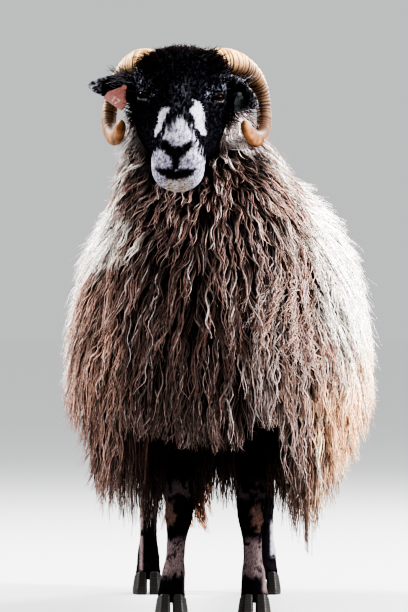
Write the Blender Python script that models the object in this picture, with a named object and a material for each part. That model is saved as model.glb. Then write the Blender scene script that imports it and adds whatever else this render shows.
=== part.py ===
"""A life-size horned hill ewe in full fleece, standing square with her head up, as a museum model.

Metres, +Z up. She faces -Y, her left side is +X, and the floor is z = 0. The origin is the point
of the floor under the middle of her outline. The solids reach out to the tips of the wool.
"""

import math
from typing import NamedTuple

import bmesh
import bpy
from mathutils import Matrix, Vector

GAP = 0.00035  # between neighbours that touch
CENTRE = (-0.0065, -0.005, 0.0)  # brings the middle of her outline over the origin

# Trunk and neck: sections that stand upright along the barrel, then fan round the withers
# and lie flatter and flatter up the neck.
BODY_SIDES = 36
TRUNK_RINGS = 23
NECK_RINGS = 10
HEM_SHARE = 0.58  # where across the half-width the wool hangs lowest

# Head: its own frame has x to her left, y behind the face and z up the face from the eye line.
HEAD_AT = (-0.058, -0.452, 0.9105)
HEAD_TILT = 40.0  # degrees between the face and the vertical
HEAD_YAW = -0.5
HEAD_ROLL = 1.8
HEAD_SIDES = 26
HEAD_RINGS = 26
EYE_RADIUS = 0.0135
EYE_AT = (0.0575, 0.0225, -0.0150)

# Horns: a growing spiral about an axis that runs across the head.
HORN_AXIS_Y = 0.078
HORN_AXIS_Z = -0.0200
HORN_RINGS = 24
HORN_SIDES = 10
HORN_DEEP = 1.14  # thickness in the plane of the curl over the mean
HORN_WIDE = 0.92  # and across it
HORN_TIP_REACH = 0.7  # how far the rounded tip runs on, in half thicknesses
HORN_TIP_SIZE = 0.45  # its last ring over the one before

# Ears: a cupped leaf.
EAR_LENGTH = 0.106
EAR_WIDTH = 0.052
EAR_THICK = 0.0052  # down the middle, at the root
EAR_THINNING = 0.35  # share of the thickness lost by the tip
EAR_RIM = 0.35  # thickness at the rim over the middle
EAR_CUP = 0.011  # depth of the hollow at the root
EAR_FLATTENING = 0.75  # share of the hollow lost by the tip
EAR_TURN_OUT = 0.012  # how far the tip curves towards the hollow side
EAR_STEPS = 5  # facets across each side

# Legs.
LEG_SIDES = 12
LEG_RINGS = 14
TAIL_RINGS = 10
CLAW_GAP = 0.0045
CLAW_LENGTH = 0.064
CLAW_WIDTH = 0.0265
CLAW_STEPS = 8  # facets round the outer wall
CLAW_TOE = 0.18  # where on its half sine the outer wall starts, at the toe
CLAW_SWEEP = 0.74  # share of the half sine that it covers
CLAW_FULLNESS = 0.75  # power that squares the wall up
CORONET_FRONT = 0.043  # height of the hoof's upper edge at the toe
CORONET_BACK = 0.021  # and at the heel

# Tags in the ears: a flap on a stud. Width, height and height of the square lower part.
ORANGE_TAG = (0.038, 0.036, 0.014)
GREEN_TAG = (0.024, 0.032, 0.016)
TAG_THICK = 0.0018
STUD_RADIUS = 0.0048
# The stud's round bars: radius, and where each begins and ends through the ear.
STUD = ((0.0046, -0.0036, -0.0010), (0.0020, -0.0012, 0.0190), (0.0050, 0.0180, 0.0202))


class Section(NamedTuple):
    """One cross-section of the trunk or neck, from the spine side to the belly or throat side."""

    x: float
    near_y: float
    near_z: float
    far_y: float
    far_z: float
    half_width: float
    wide_at: float  # share of the way from near to far
    arch: float  # rise of the underside between the hanging hems
    near_power: float  # superellipse power on the spine side of the widest line
    far_power: float  # and on the belly or throat side


class HeadRing(NamedTuple):
    """One cross-section of the head, square to the line of the face."""

    down: float  # below the eye line, along the face
    half_width: float
    front: float  # depth of the face surface
    back: float  # depth of the jaw or nape surface
    wide_at: float
    front_power: float
    back_power: float


class Limb(NamedTuple):
    """One cross-section of a leg or the tail, level."""

    x: float
    y: float
    z: float
    half_width: float
    half_depth: float


class ClawLevel(NamedTuple):
    """One outline of a claw."""

    height: float  # above the floor; the top one lies on the coronet instead
    width: float  # over the claw's full width
    toe: float  # how far the toe lies behind the pastern's front
    length: float  # over the claw's full length


class EarPlace(NamedTuple):
    """Where an ear grows in the upright head frame, for the left side; x is mirrored on the right."""

    root: tuple
    direction: tuple
    opening: tuple  # the way the hollow faces


class TagPlace(NamedTuple):
    """Where a tag hangs in the upright head frame."""

    stud: tuple
    down: tuple
    facing: tuple


class HornRing(NamedTuple):
    """One cross-section of a horn."""

    turn: float  # degrees round the spiral, 90 at the top, 180 at the back
    out_left: float  # from the head's middle plane; the two horns grew a little unlike
    out_right: float
    radius: float
    half_thick: float


TRUNK = (
    Section(0.000, 0.494, 0.590, 0.494, 0.430, 0.070, 0.50, 0.000, 2.0, 2.0),
    Section(0.000, 0.482, 0.655, 0.482, 0.335, 0.118, 0.52, 0.000, 2.0, 2.1),
    Section(0.000, 0.450, 0.712, 0.452, 0.245, 0.170, 0.55, 0.012, 2.1, 2.3),
    Section(0.001, 0.390, 0.750, 0.395, 0.185, 0.214, 0.57, 0.045, 2.2, 2.4),
    Section(0.004, 0.300, 0.770, 0.305, 0.150, 0.244, 0.57, 0.076, 2.3, 2.5),
    Section(0.007, 0.160, 0.776, 0.160, 0.133, 0.263, 0.57, 0.092, 2.35, 2.5),
    Section(0.007, 0.020, 0.777, 0.020, 0.129, 0.268, 0.57, 0.096, 2.35, 2.5),
    Section(0.006, -0.100, 0.781, -0.110, 0.128, 0.266, 0.57, 0.096, 2.2, 2.5),
    Section(0.004, -0.163, 0.790, -0.225, 0.138, 0.259, 0.57, 0.082, 1.95, 2.5),
    Section(0.002, -0.188, 0.803, -0.318, 0.186, 0.252, 0.59, 0.044, 1.75, 2.5),
    Section(0.000, -0.208, 0.820, -0.386, 0.280, 0.243, 0.60, 0.012, 1.65, 2.4),
    Section(-0.003, -0.228, 0.840, -0.426, 0.392, 0.225, 0.62, 0.000, 1.6, 2.3),
)
NECK = (
    TRUNK[-1],
    Section(-0.013, -0.249, 0.862, -0.447, 0.495, 0.184, 0.61, 0.000, 1.7, 2.2),
    Section(-0.025, -0.270, 0.885, -0.456, 0.580, 0.152, 0.58, 0.000, 1.9, 2.1),
    Section(-0.034, -0.290, 0.908, -0.452, 0.655, 0.131, 0.55, 0.000, 2.0, 2.1),
    Section(-0.042, -0.309, 0.928, -0.436, 0.715, 0.113, 0.52, 0.000, 2.0, 2.1),
    Section(-0.047, -0.328, 0.944, -0.410, 0.765, 0.096, 0.50, 0.000, 2.0, 2.1),
    Section(-0.052, -0.346, 0.952, -0.384, 0.815, 0.078, 0.50, 0.000, 2.0, 2.0),
)
HEAD = (
    HeadRing(-0.103, 0.022, 0.034, 0.066, 0.50, 2.0, 2.0),
    HeadRing(-0.095, 0.041, 0.018, 0.084, 0.46, 2.1, 2.0),
    HeadRing(-0.075, 0.060, 0.003, 0.110, 0.42, 2.2, 2.0),
    HeadRing(-0.045, 0.071, -0.006, 0.134, 0.38, 2.3, 2.0),
    HeadRing(-0.015, 0.0755, -0.008, 0.148, 0.34, 2.3, 1.9),
    HeadRing(0.012, 0.0765, -0.007, 0.155, 0.37, 2.1, 1.9),
    HeadRing(0.040, 0.0715, -0.005, 0.153, 0.46, 1.9, 1.9),
    HeadRing(0.070, 0.0595, -0.003, 0.136, 0.52, 1.9, 2.0),
    HeadRing(0.098, 0.0495, 0.000, 0.117, 0.52, 2.0, 2.1),
    HeadRing(0.122, 0.0450, 0.006, 0.106, 0.48, 2.2, 2.2),
    HeadRing(0.143, 0.0440, 0.017, 0.101, 0.46, 2.3, 2.2),
    HeadRing(0.158, 0.0385, 0.031, 0.096, 0.46, 2.2, 2.1),
    HeadRing(0.168, 0.0275, 0.044, 0.086, 0.48, 2.0, 2.0),
)
FRONT_LEG = (
    Limb(0.054, -0.190, 0.330, 0.042, 0.048),
    Limb(0.057, -0.200, 0.262, 0.034, 0.038),
    Limb(0.060, -0.206, 0.222, 0.0280, 0.0305),
    Limb(0.0605, -0.210, 0.188, 0.0272, 0.0270),
    Limb(0.0615, -0.209, 0.160, 0.0235, 0.0240),
    Limb(0.0630, -0.207, 0.130, 0.0198, 0.0205),
    Limb(0.0640, -0.205, 0.100, 0.0195, 0.0205),
    Limb(0.0650, -0.202, 0.076, 0.0222, 0.0245),
    Limb(0.0658, -0.206, 0.058, 0.0235, 0.0250),
    Limb(0.0665, -0.216, 0.044, 0.0245, 0.0260),
)
FRONT_SPLAY = {1: 0.0, -1: 0.012}  # extra spread of each forefoot below the knee
SPLAY_FROM = 0.20  # height at which the spread begins
REAR_LEG = (
    Limb(0.100, 0.330, 0.380, 0.058, 0.085),
    Limb(0.103, 0.372, 0.310, 0.040, 0.056),
    Limb(0.105, 0.400, 0.256, 0.027, 0.037),
    Limb(0.106, 0.402, 0.215, 0.0230, 0.030),
    Limb(0.107, 0.398, 0.175, 0.0200, 0.0235),
    Limb(0.1075, 0.393, 0.135, 0.0190, 0.0210),
    Limb(0.108, 0.388, 0.100, 0.0190, 0.0205),
    Limb(0.108, 0.384, 0.076, 0.0215, 0.0240),
    Limb(0.108, 0.380, 0.058, 0.0228, 0.0245),
    Limb(0.108, 0.371, 0.044, 0.0240, 0.0255),
)
REAR_SHIFT = -0.015  # the hind feet stand a little towards her right
TAIL = (
    Limb(0.000, 0.462, 0.640, 0.030, 0.022),
    Limb(-0.002, 0.484, 0.600, 0.042, 0.032),
    Limb(-0.010, 0.503, 0.520, 0.050, 0.034),
    Limb(-0.024, 0.508, 0.420, 0.054, 0.034),
    Limb(-0.038, 0.507, 0.320, 0.056, 0.034),
    Limb(-0.048, 0.504, 0.230, 0.055, 0.033),
    Limb(-0.053, 0.502, 0.165, 0.047, 0.029),
    Limb(-0.054, 0.501, 0.128, 0.028, 0.018),
)
HORN = (
    HornRing(52, 0.0332, 0.0311, 0.0600, 0.0195),
    HornRing(78, 0.0600, 0.0540, 0.0610, 0.0185),
    HornRing(102, 0.0870, 0.0760, 0.0620, 0.0172),
    HornRing(130, 0.1135, 0.0965, 0.0635, 0.0155),
    HornRing(160, 0.1310, 0.1120, 0.0650, 0.0140),
    HornRing(190, 0.1385, 0.1205, 0.0660, 0.0130),
    HornRing(220, 0.1400, 0.1225, 0.0665, 0.0124),
    HornRing(250, 0.1345, 0.1155, 0.0665, 0.0120),
    HornRing(278, 0.1235, 0.1065, 0.0655, 0.0116),
    HornRing(303, 0.1125, 0.1010, 0.0640, 0.0104),
    HornRing(322, 0.1060, 0.0990, 0.0620, 0.0080),
)
HORN_DROP = {1: 0.003, -1: 0.008}
EARS = {
    1: EarPlace((0.062, 0.086, -0.004), (0.66, -0.60, -0.36), (0.25, -0.90, 0.0)),
    -1: EarPlace((0.052, 0.072, -0.010), (0.985, 0.04, 0.065), (0.1, -0.86, -0.42)),
}
# Share of the ear's length, and half its width there over the full width.
EAR_OUTLINE = (
    (0.0, 0.34), (0.14, 0.46), (0.34, 0.50), (0.56, 0.46), (0.76, 0.34), (0.91, 0.19), (0.985, 0.07),
)
TAG_PLACES = {
    1: TagPlace((0.0967, 0.030, -0.0175), (0.10, 0.0, -1.0), (0.30, -0.95, 0.0)),
    -1: TagPlace((-0.0965, 0.052, -0.0115), (-0.528, -0.30, -0.849), (0.0, -1.0, 0.0)),
}
CLAW_LEVELS = (
    ClawLevel(0.0, 1.0, -0.016, 1.0),
    ClawLevel(0.010, 1.0, -0.0145, 1.0),
    ClawLevel(1.0, 0.86, 0.001, 0.80),
)


def clear_scene() -> None:
    for thing in list(bpy.data.objects):
        bpy.data.objects.remove(thing, do_unlink=True)


def finish(name: str, colour: tuple, roughness: float) -> bpy.types.Material:
    material = bpy.data.materials.new(name)
    material.use_nodes = True
    shader = material.node_tree.nodes["Principled BSDF"]
    shader.inputs["Base Color"].default_value = (*colour, 1.0)
    shader.inputs["Roughness"].default_value = roughness
    shader.inputs["Metallic"].default_value = 0.0
    return material


def eased(rows: tuple, count: int) -> list:
    """Spread `count` sections along a smooth curve through the given ones."""
    kind = type(rows[0])
    last = len(rows) - 1
    out = []
    for i in range(count):
        place = last * i / (count - 1)
        k = min(int(place), last - 1)
        t = place - k
        quad = (rows[max(k - 1, 0)], rows[k], rows[k + 1], rows[min(k + 2, last)])
        values = []
        for a, b, c, d in zip(*quad):
            curve = 2 * b + (c - a) * t + (2 * a - 5 * b + 4 * c - d) * t**2
            values.append((curve + (3 * b - a - 3 * c + d) * t**3) / 2)
        out.append(kind(*values))
    return out


def power(value: float, exponent: float) -> float:
    """A signed power, the building block of a superellipse."""
    return math.copysign(abs(value) ** exponent, value)


def oval(sides: int, wide_at: float, near_power: float, far_power: float) -> list:
    """A unit superellipse: pairs of across (-1 to 1) and along (0 near, 1 far)."""
    pairs = []
    for i in range(sides):
        angle = 2 * math.pi * i / sides
        rise = math.sin(angle)
        n = near_power if rise >= 0 else far_power
        across = power(math.cos(angle), 2 / n)
        reach = abs(rise) ** (2 / n)
        along = wide_at * (1 - reach) if rise >= 0 else wide_at + (1 - wide_at) * reach
        pairs.append((across, along))
    return pairs


def loft(name: str, rings: list, material, parent) -> bpy.types.Object:
    """Skin a closed body over rings of points, with a flat face over each end."""
    bm = bmesh.new()
    rows = [[bm.verts.new(point) for point in ring] for ring in rings]
    count = len(rows[0])
    for low, high in zip(rows, rows[1:]):
        for i in range(count):
            j = (i + 1) % count
            bm.faces.new((low[i], low[j], high[j], high[i]))
    bm.faces.new(rows[0])
    bm.faces.new(rows[-1])
    bmesh.ops.recalc_face_normals(bm, faces=bm.faces)
    return as_object(name, bm, material, parent)


def as_object(name: str, bm: bmesh.types.BMesh, material, parent) -> bpy.types.Object:
    """Turn an edited mesh into a smooth-shaded object that hangs on the parent empty."""
    bmesh.ops.triangulate(bm, faces=bm.faces)
    mesh = bpy.data.meshes.new(name)
    bm.to_mesh(mesh)
    bm.free()
    mesh.materials.append(material)
    mesh.shade_smooth()
    mesh.set_sharp_from_angle(angle=math.radians(50))
    made = bpy.data.objects.new(name, mesh)
    bpy.context.scene.collection.objects.link(made)
    made.parent = parent
    return made


def grown(source: bpy.types.Object) -> bpy.types.Object:
    """A hidden copy of a solid, larger by the working gap, that cuts its neighbours."""
    swell = 1.2 * GAP  # a facet's middle moves less than its corners
    bpy.context.view_layer.update()
    shape = source.evaluated_get(bpy.context.evaluated_depsgraph_get())
    bm = bmesh.new()
    bm.from_mesh(bpy.data.meshes.new_from_object(shape))
    bm.normal_update()
    moves = [(vert, vert.co + vert.normal * swell) for vert in bm.verts]
    for vert, place in moves:
        vert.co = place
    cutter = as_object(source.name + "_cutter", bm, source.data.materials[0], source.parent)
    cutter.hide_render = True
    cutter.display_type = "WIRE"
    return cutter


def fit_against(piece: bpy.types.Object, *cutters: bpy.types.Object) -> None:
    """Cut a solid back so that it only meets its neighbours."""
    for cutter in cutters:
        cut = piece.modifiers.new("clear of " + cutter.name, "BOOLEAN")
        cut.operation = "DIFFERENCE"
        cut.solver = "EXACT"
        cut.object = cutter


def body_ring(section: Section) -> list:
    near = Vector((section.x, section.near_y, section.near_z))
    axis = Vector((section.x, section.far_y, section.far_z)) - near
    hem = HEM_SHARE * section.half_width
    points = []
    outline = oval(BODY_SIDES, section.wide_at, section.near_power, section.far_power)
    for across, along in outline:
        lateral = section.half_width * across
        if along > section.wide_at:
            along -= section.arch / axis.length * max(0.0, 1 - (lateral / hem) ** 2)
        points.append(near + axis * along + Vector((lateral, 0, 0)))
    return points


def shifted(ring: list, direction: Vector) -> list:
    return [point + direction for point in ring]


def build_trunk_and_neck(wool, mane, parent) -> tuple:
    """The body is one continuous form, parted at the base of the neck by a thin plane cut."""
    trunk_rings = [body_ring(section) for section in eased(TRUNK, TRUNK_RINGS)]
    neck_rings = [body_ring(section) for section in eased(NECK, NECK_RINGS)]
    base = TRUNK[-1]
    across_cut = Vector((0, base.far_y - base.near_y, base.far_z - base.near_z)).normalized()
    up_the_neck = Vector((0, across_cut.z, -across_cut.y)) * GAP
    neck_rings[0] = shifted(neck_rings[0], up_the_neck)
    trunk = loft("trunk", trunk_rings, wool, parent)
    neck = loft("neck", neck_rings, mane, parent)
    return trunk, neck


def head_frame(tilted: bool) -> Matrix:
    """Places head parts: tilted with the face, or upright but turned with the head."""
    frame = Matrix.Translation(HEAD_AT)
    frame = frame @ Matrix.Rotation(math.radians(HEAD_YAW), 4, "Z")
    frame = frame @ Matrix.Rotation(math.radians(HEAD_ROLL), 4, "Y")
    if tilted:
        frame = frame @ Matrix.Rotation(math.radians(-HEAD_TILT), 4, "X")
    return frame


def build_head(material, parent) -> bpy.types.Object:
    frame = head_frame(tilted=True)
    rings = []
    for ring in eased(HEAD, HEAD_RINGS):
        points = []
        for across, along in oval(HEAD_SIDES, ring.wide_at, ring.front_power, ring.back_power):
            depth = ring.front + (ring.back - ring.front) * along
            points.append(frame @ Vector((ring.half_width * across, depth, -ring.down)))
        rings.append(points)
    return loft("head", rings, material, parent)


def build_eye(side: int, material, parent) -> bpy.types.Object:
    bm = bmesh.new()
    bmesh.ops.create_uvsphere(bm, u_segments=12, v_segments=8, radius=EYE_RADIUS)
    x, y, z = EYE_AT
    place = head_frame(tilted=True) @ Matrix.Translation((side * x, y, z))
    bmesh.ops.transform(bm, matrix=place, verts=bm.verts)
    return as_object("eye_left" if side > 0 else "eye_right", bm, material, parent)


def build_horn(side: int, material, parent) -> bpy.types.Object:
    frame = head_frame(tilted=False)
    stations = eased(HORN, HORN_RINGS)
    path = []
    for ring in stations:
        turn = math.radians(ring.turn)
        y = HORN_AXIS_Y - ring.radius * math.cos(turn)
        z = HORN_AXIS_Z + ring.radius * math.sin(turn)
        out = ring.out_left if side > 0 else ring.out_right
        path.append(Vector((side * out, y, z - HORN_DROP[side])))
    rings = []
    for i, (ring, centre) in enumerate(zip(stations, path)):
        ahead = path[min(i + 1, len(path) - 1)] - path[max(i - 1, 0)]
        ahead.normalize()
        outward = centre - Vector((centre.x, HORN_AXIS_Y, HORN_AXIS_Z - HORN_DROP[side]))
        deep = (outward - ahead * outward.dot(ahead)).normalized()
        wide = ahead.cross(deep)
        points = []
        for k in range(HORN_SIDES):
            angle = 2 * math.pi * k / HORN_SIDES
            reach = deep * math.cos(angle) * HORN_DEEP + wide * math.sin(angle) * HORN_WIDE
            points.append(frame @ (centre + reach * ring.half_thick))
        rings.append(points)
    ahead = (path[-1] - path[-2]).normalized()
    tip = frame @ (path[-1] + ahead * stations[-1].half_thick * HORN_TIP_REACH)
    rings.append([tip.lerp(point, HORN_TIP_SIZE) for point in rings[-1]])
    return loft("horn_left" if side > 0 else "horn_right", rings, material, parent)


def ear_frame(side: int) -> Matrix:
    """x across the ear, y out of its hollow side, z from root to tip, in the upright head frame."""
    mirror = Matrix.Diagonal((side, 1, 1))
    root, direction, opening = (mirror @ Vector(part) for part in EARS[side])
    along = direction.normalized()
    hollow = (opening - along * opening.dot(along)).normalized()
    across = hollow.cross(along)
    turn = Matrix((across, hollow, along)).transposed().to_4x4()
    return head_frame(tilted=False) @ Matrix.Translation(root) @ turn


def build_ear(side: int, material, parent) -> bpy.types.Object:
    frame = ear_frame(side)
    rings = []
    for share, half in EAR_OUTLINE:
        half_width = EAR_WIDTH * half
        cup = EAR_CUP * (1 - EAR_FLATTENING * share)
        thick = EAR_THICK * (1 - EAR_THINNING * share)
        outer = []
        inner = []
        for k in range(EAR_STEPS + 1):
            across = -1 + 2 * k / EAR_STEPS
            hollow = cup * across**2 + EAR_TURN_OUT * share**2
            edge = thick * (EAR_RIM + (1 - EAR_RIM) * (1 - across**2)) / 2
            outer.append(frame @ Vector((half_width * across, hollow - edge, EAR_LENGTH * share)))
            inner.append(frame @ Vector((half_width * across, hollow + edge, EAR_LENGTH * share)))
        rings.append(outer + inner[::-1])
    return loft("ear_left" if side > 0 else "ear_right", rings, material, parent)


def placed(stations: tuple, side: int, splay: float, shift: float) -> tuple:
    """The stations of one leg where it stands, mirrored to its side and spread at the foot."""
    out = []
    for ring in stations:
        spread = splay * max(0.0, 1 - ring.z / SPLAY_FROM)
        out.append(ring._replace(x=side * (ring.x + spread) + shift))
    return tuple(out)


def build_leg(name: str, stations: tuple, material, parent) -> bpy.types.Object:
    rings = [level_ring(ring) for ring in eased(stations, LEG_RINGS)]
    rings.append([coronet(point, stations[-1]) for point in rings[-1]])
    return loft(name, rings, material, parent)


def level_ring(ring: Limb) -> list:
    points = []
    for k in range(LEG_SIDES):
        angle = 2 * math.pi * k / LEG_SIDES
        x = ring.x + ring.half_width * math.cos(angle)
        y = ring.y + ring.half_depth * math.sin(angle)
        points.append(Vector((x, y, ring.z)))
    return points


def coronet(point: Vector, foot: Limb) -> Vector:
    """Drop a point on to the sloping plane where the hair ends and the hoof begins."""
    toe = foot.y - foot.half_depth
    share = (point.y - toe) / (2 * foot.half_depth)
    return Vector((point.x, point.y, CORONET_FRONT + (CORONET_BACK - CORONET_FRONT) * share))


def build_claw(name: str, foot: Limb, outer: int, material, parent) -> bpy.types.Object:
    """Half a cloven hoof: flat on the floor and on its inner face, round outside, pointed in front."""
    pastern_front = foot.y - foot.half_depth
    inner_x = CLAW_GAP / 2
    rings = []
    for level in CLAW_LEVELS:
        front = pastern_front + level.toe
        long = CLAW_LENGTH * level.length
        points = []
        for k in range(CLAW_STEPS + 1):
            share = k / CLAW_STEPS
            bulge = math.sin(math.pi * (CLAW_TOE + CLAW_SWEEP * share)) ** CLAW_FULLNESS
            points.append((inner_x + CLAW_WIDTH * level.width * bulge, front + long * share))
        points.append((inner_x, front + 0.97 * long))
        points.append((inner_x, front + 0.40 * long))
        points.append((inner_x + 0.001, front + 0.02 * long))
        ring = []
        for x, y in points:
            place = Vector((foot.x + outer * x, y, level.height))
            if level is CLAW_LEVELS[-1]:
                place = coronet(place, foot) - Vector((0, 0, GAP))
            ring.append(place)
        rings.append(ring)
    return loft(name, rings, material, parent)


def build_tail(material, parent) -> bpy.types.Object:
    return loft("tail", [level_ring(ring) for ring in eased(TAIL, TAIL_RINGS)], material, parent)


def solid_disc(
    radius: float, low: float, high: float, frame: Matrix, material, parent
) -> bpy.types.Object:
    """A short round bar along the frame's y axis, kept as a tool for a union."""
    bm = bmesh.new()
    bmesh.ops.create_cone(
        bm, cap_ends=True, segments=10, radius1=radius, radius2=radius, depth=high - low
    )
    turn = Matrix.Rotation(math.radians(90), 4, "X")
    place = frame @ Matrix.Translation((0, (low + high) / 2, 0)) @ turn
    bmesh.ops.transform(bm, matrix=place, verts=bm.verts)
    tool = as_object("tag_tool", bm, material, parent)
    tool.hide_render = True
    tool.display_type = "WIRE"
    return tool


def build_tag(name: str, size: tuple, frame: Matrix, material, parent) -> bpy.types.Object:
    """A flap, its neck, its stud in front of the ear and its button behind, as one solid."""
    width, height, straight = size
    half = width / 2
    neck = STUD_RADIUS * 0.9
    outline = [(-half, -height), (half, -height), (half, straight - height), (neck, -STUD_RADIUS)]
    steps = 6
    for k in range(steps + 1):
        angle = math.pi * k / steps
        outline.append((STUD_RADIUS * math.cos(angle), STUD_RADIUS * math.sin(angle)))
    outline += [(-neck, -STUD_RADIUS), (-half, straight - height)]
    rings = []
    for depth in (-TAG_THICK, 0.0):
        rings.append([frame @ Vector((x, depth, z)) for x, z in outline])
    tag = loft(name, rings, material, parent)
    for radius, low, high in STUD:
        joined = tag.modifiers.new("stud", "BOOLEAN")
        joined.operation = "UNION"
        joined.solver = "EXACT"
        joined.object = solid_disc(radius, low, high, frame, material, parent)
    return tag


def tag_frame(place: TagPlace) -> Matrix:
    """x across the flap, y into the ear, z from the flap up to its stud, in the upright head frame."""
    up = -Vector(place.down).normalized()
    inward = -Vector(place.facing)
    inward = (inward - up * inward.dot(up)).normalized()
    turn = Matrix((inward.cross(up), inward, up)).transposed().to_4x4()
    return head_frame(tilted=False) @ Matrix.Translation(place.stud) @ turn


def main() -> None:
    clear_scene()
    ewe = bpy.data.objects.new("ewe", None)
    ewe.location = CENTRE
    bpy.context.scene.collection.objects.link(ewe)
    wool = finish("cream_wool", (0.62, 0.55, 0.46), 0.95)
    mane = finish("brown_wool", (0.30, 0.22, 0.16), 0.95)
    rust = finish("rust_wool", (0.42, 0.18, 0.07), 0.95)
    hair = finish("black_hair", (0.02, 0.02, 0.025), 0.7)
    orange = finish("orange_plastic", (0.72, 0.26, 0.17), 0.5)
    green = finish("green_plastic", (0.02, 0.16, 0.12), 0.5)
    mottle = finish("mottled_hair", (0.16, 0.14, 0.13), 0.75)
    eyeball = finish("dark_eye", (0.02, 0.015, 0.01), 0.1)
    ridged_horn = finish("horn", (0.50, 0.36, 0.25), 0.45)
    hoof = finish("hoof", (0.06, 0.05, 0.045), 0.5)

    trunk, neck = build_trunk_and_neck(wool, mane, ewe)
    head = build_head(hair, ewe)
    trunk_cutter = grown(trunk)
    head_cutter = grown(head)
    around_head = []
    for side in (-1, 1):
        eye = build_eye(side, eyeball, ewe)
        fit_against(head, grown(eye))
        horn = build_horn(side, ridged_horn, ewe)
        ear = build_ear(side, hair, ewe)
        horn_cutter = grown(horn)
        around_head += [horn_cutter, grown(ear)]
        fit_against(horn, head_cutter)
        fit_against(ear, head_cutter, horn_cutter)
        frame = tag_frame(TAG_PLACES[side])
        if side < 0:
            tag = build_tag("tag_orange", ORANGE_TAG, frame, orange, ewe)
        else:
            tag = build_tag("tag_green", GREEN_TAG, frame, green, ewe)
        fit_against(ear, grown(tag))
    fit_against(neck, head_cutter, *around_head)
    for side, hand in ((1, "left"), (-1, "right")):
        fore = placed(FRONT_LEG, side, FRONT_SPLAY[side], 0.0)
        hind = placed(REAR_LEG, side, 0.0, REAR_SHIFT)
        for end, stations in (("front", fore), ("rear", hind)):
            leg = build_leg(f"leg_{end}_{hand}", stations, mottle, ewe)
            fit_against(leg, trunk_cutter)
            for outer, which in ((side, "outer"), (-side, "inner")):
                build_claw(f"hoof_{end}_{hand}_{which}", stations[-1], outer, hoof, ewe)
    tail = build_tail(rust, ewe)
    fit_against(tail, trunk_cutter)


main()
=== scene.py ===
"""Dresses the life-size model of a horned hill ewe in full fleece: skin, eyes, horns, hooves and wool.

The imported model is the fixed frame. Metres, +Z up; she faces -Y and her left side is +X.
"""

import itertools
import logging
import math
from dataclasses import dataclass, field
from enum import Enum

import bmesh
import bpy
import numpy as np
from mathutils import Matrix, Vector
from mathutils.bvhtree import BVHTree


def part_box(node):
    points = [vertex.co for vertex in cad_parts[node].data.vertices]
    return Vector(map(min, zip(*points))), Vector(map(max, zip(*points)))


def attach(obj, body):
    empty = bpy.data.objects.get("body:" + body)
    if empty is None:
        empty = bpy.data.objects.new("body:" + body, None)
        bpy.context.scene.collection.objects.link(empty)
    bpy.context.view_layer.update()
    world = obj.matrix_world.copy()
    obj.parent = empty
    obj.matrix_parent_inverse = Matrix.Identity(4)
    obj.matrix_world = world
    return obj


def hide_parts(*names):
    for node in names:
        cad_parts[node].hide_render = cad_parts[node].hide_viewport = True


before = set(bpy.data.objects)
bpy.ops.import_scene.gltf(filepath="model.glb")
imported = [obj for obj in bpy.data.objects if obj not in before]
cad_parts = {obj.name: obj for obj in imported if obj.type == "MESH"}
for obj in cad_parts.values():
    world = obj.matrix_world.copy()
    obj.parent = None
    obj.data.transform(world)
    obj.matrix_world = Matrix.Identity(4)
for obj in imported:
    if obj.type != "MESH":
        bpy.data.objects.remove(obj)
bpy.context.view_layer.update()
BODY = "root"
LOG = logging.getLogger("ewe")
SIDES = {"left": 1, "right": -1}
EYE_RADIUS = 0.0135
LID_REACH = 0.0178  # how far from an eye's middle its lids go
HEAD_MIDDLE = (0.0, 0.07, -0.02)  # within the head, in the face's frame
TAIL_X = -0.035  # the tail hangs a little to her right
AROUND = tuple(itertools.product((-1, 0, 1), repeat=3))  # a grid cell and its neighbours
ATTRIBUTE_KINDS = {1: ("FLOAT", "value"), 3: ("FLOAT_VECTOR", "vector"), 4: ("FLOAT_COLOR", "color")}


# ---------------------------------------------------------------- numbers and fields


def smooth_step(low: float, high: float, values: np.ndarray) -> np.ndarray:
    """Rise smoothly from 0 at `low` to 1 at `high`, or fall where low is the larger."""
    share = np.clip((values - low) / (high - low), 0.0, 1.0)
    return share * share * (3 - 2 * share)


def blend(one: np.ndarray, other: np.ndarray, share: np.ndarray) -> np.ndarray:
    """Mix rows of two arrays of colours or vectors by one share for each row."""
    share = np.asarray(share)[..., None]
    return np.asarray(one) * (1 - share) + np.asarray(other) * share


def unit(vectors: np.ndarray) -> np.ndarray:
    """Scale each row to length one."""
    size = np.linalg.norm(vectors, axis=-1, keepdims=True)
    return vectors / np.maximum(size, 1e-9)


def lattice_noise(points: np.ndarray, size: float, seed: int) -> np.ndarray:
    """Smooth noise between 0 and 1 with features about `size` across."""
    grid = points / size + 37.0 * seed
    cell = np.floor(grid).astype(np.int64)
    part = grid - cell
    part = part * part * (3 - 2 * part)
    total = np.zeros(len(points))
    for corner in range(8):
        step = np.array([corner & 1, corner >> 1 & 1, corner >> 2 & 1])
        at = cell + step
        mixed = at[:, 0] * 73856093 ^ at[:, 1] * 19349663 ^ at[:, 2] * 83492791 ^ seed * 2654435761
        mixed = (mixed ^ mixed >> 13) * 1274126177 & 0x7FFFFFFF
        weight = np.prod(np.where(step == 1, part, 1 - part), axis=1)
        total += weight * (mixed / 0x7FFFFFFF)
    return total


def run_distance(points: np.ndarray, a: np.ndarray, b: np.ndarray) -> np.ndarray:
    """Distance of each point to one straight run."""
    edge = b - a
    share = np.clip(((points - a) @ edge) / (edge @ edge), 0, 1)
    return np.linalg.norm(points - a - share[:, None] * edge, axis=1)


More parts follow.
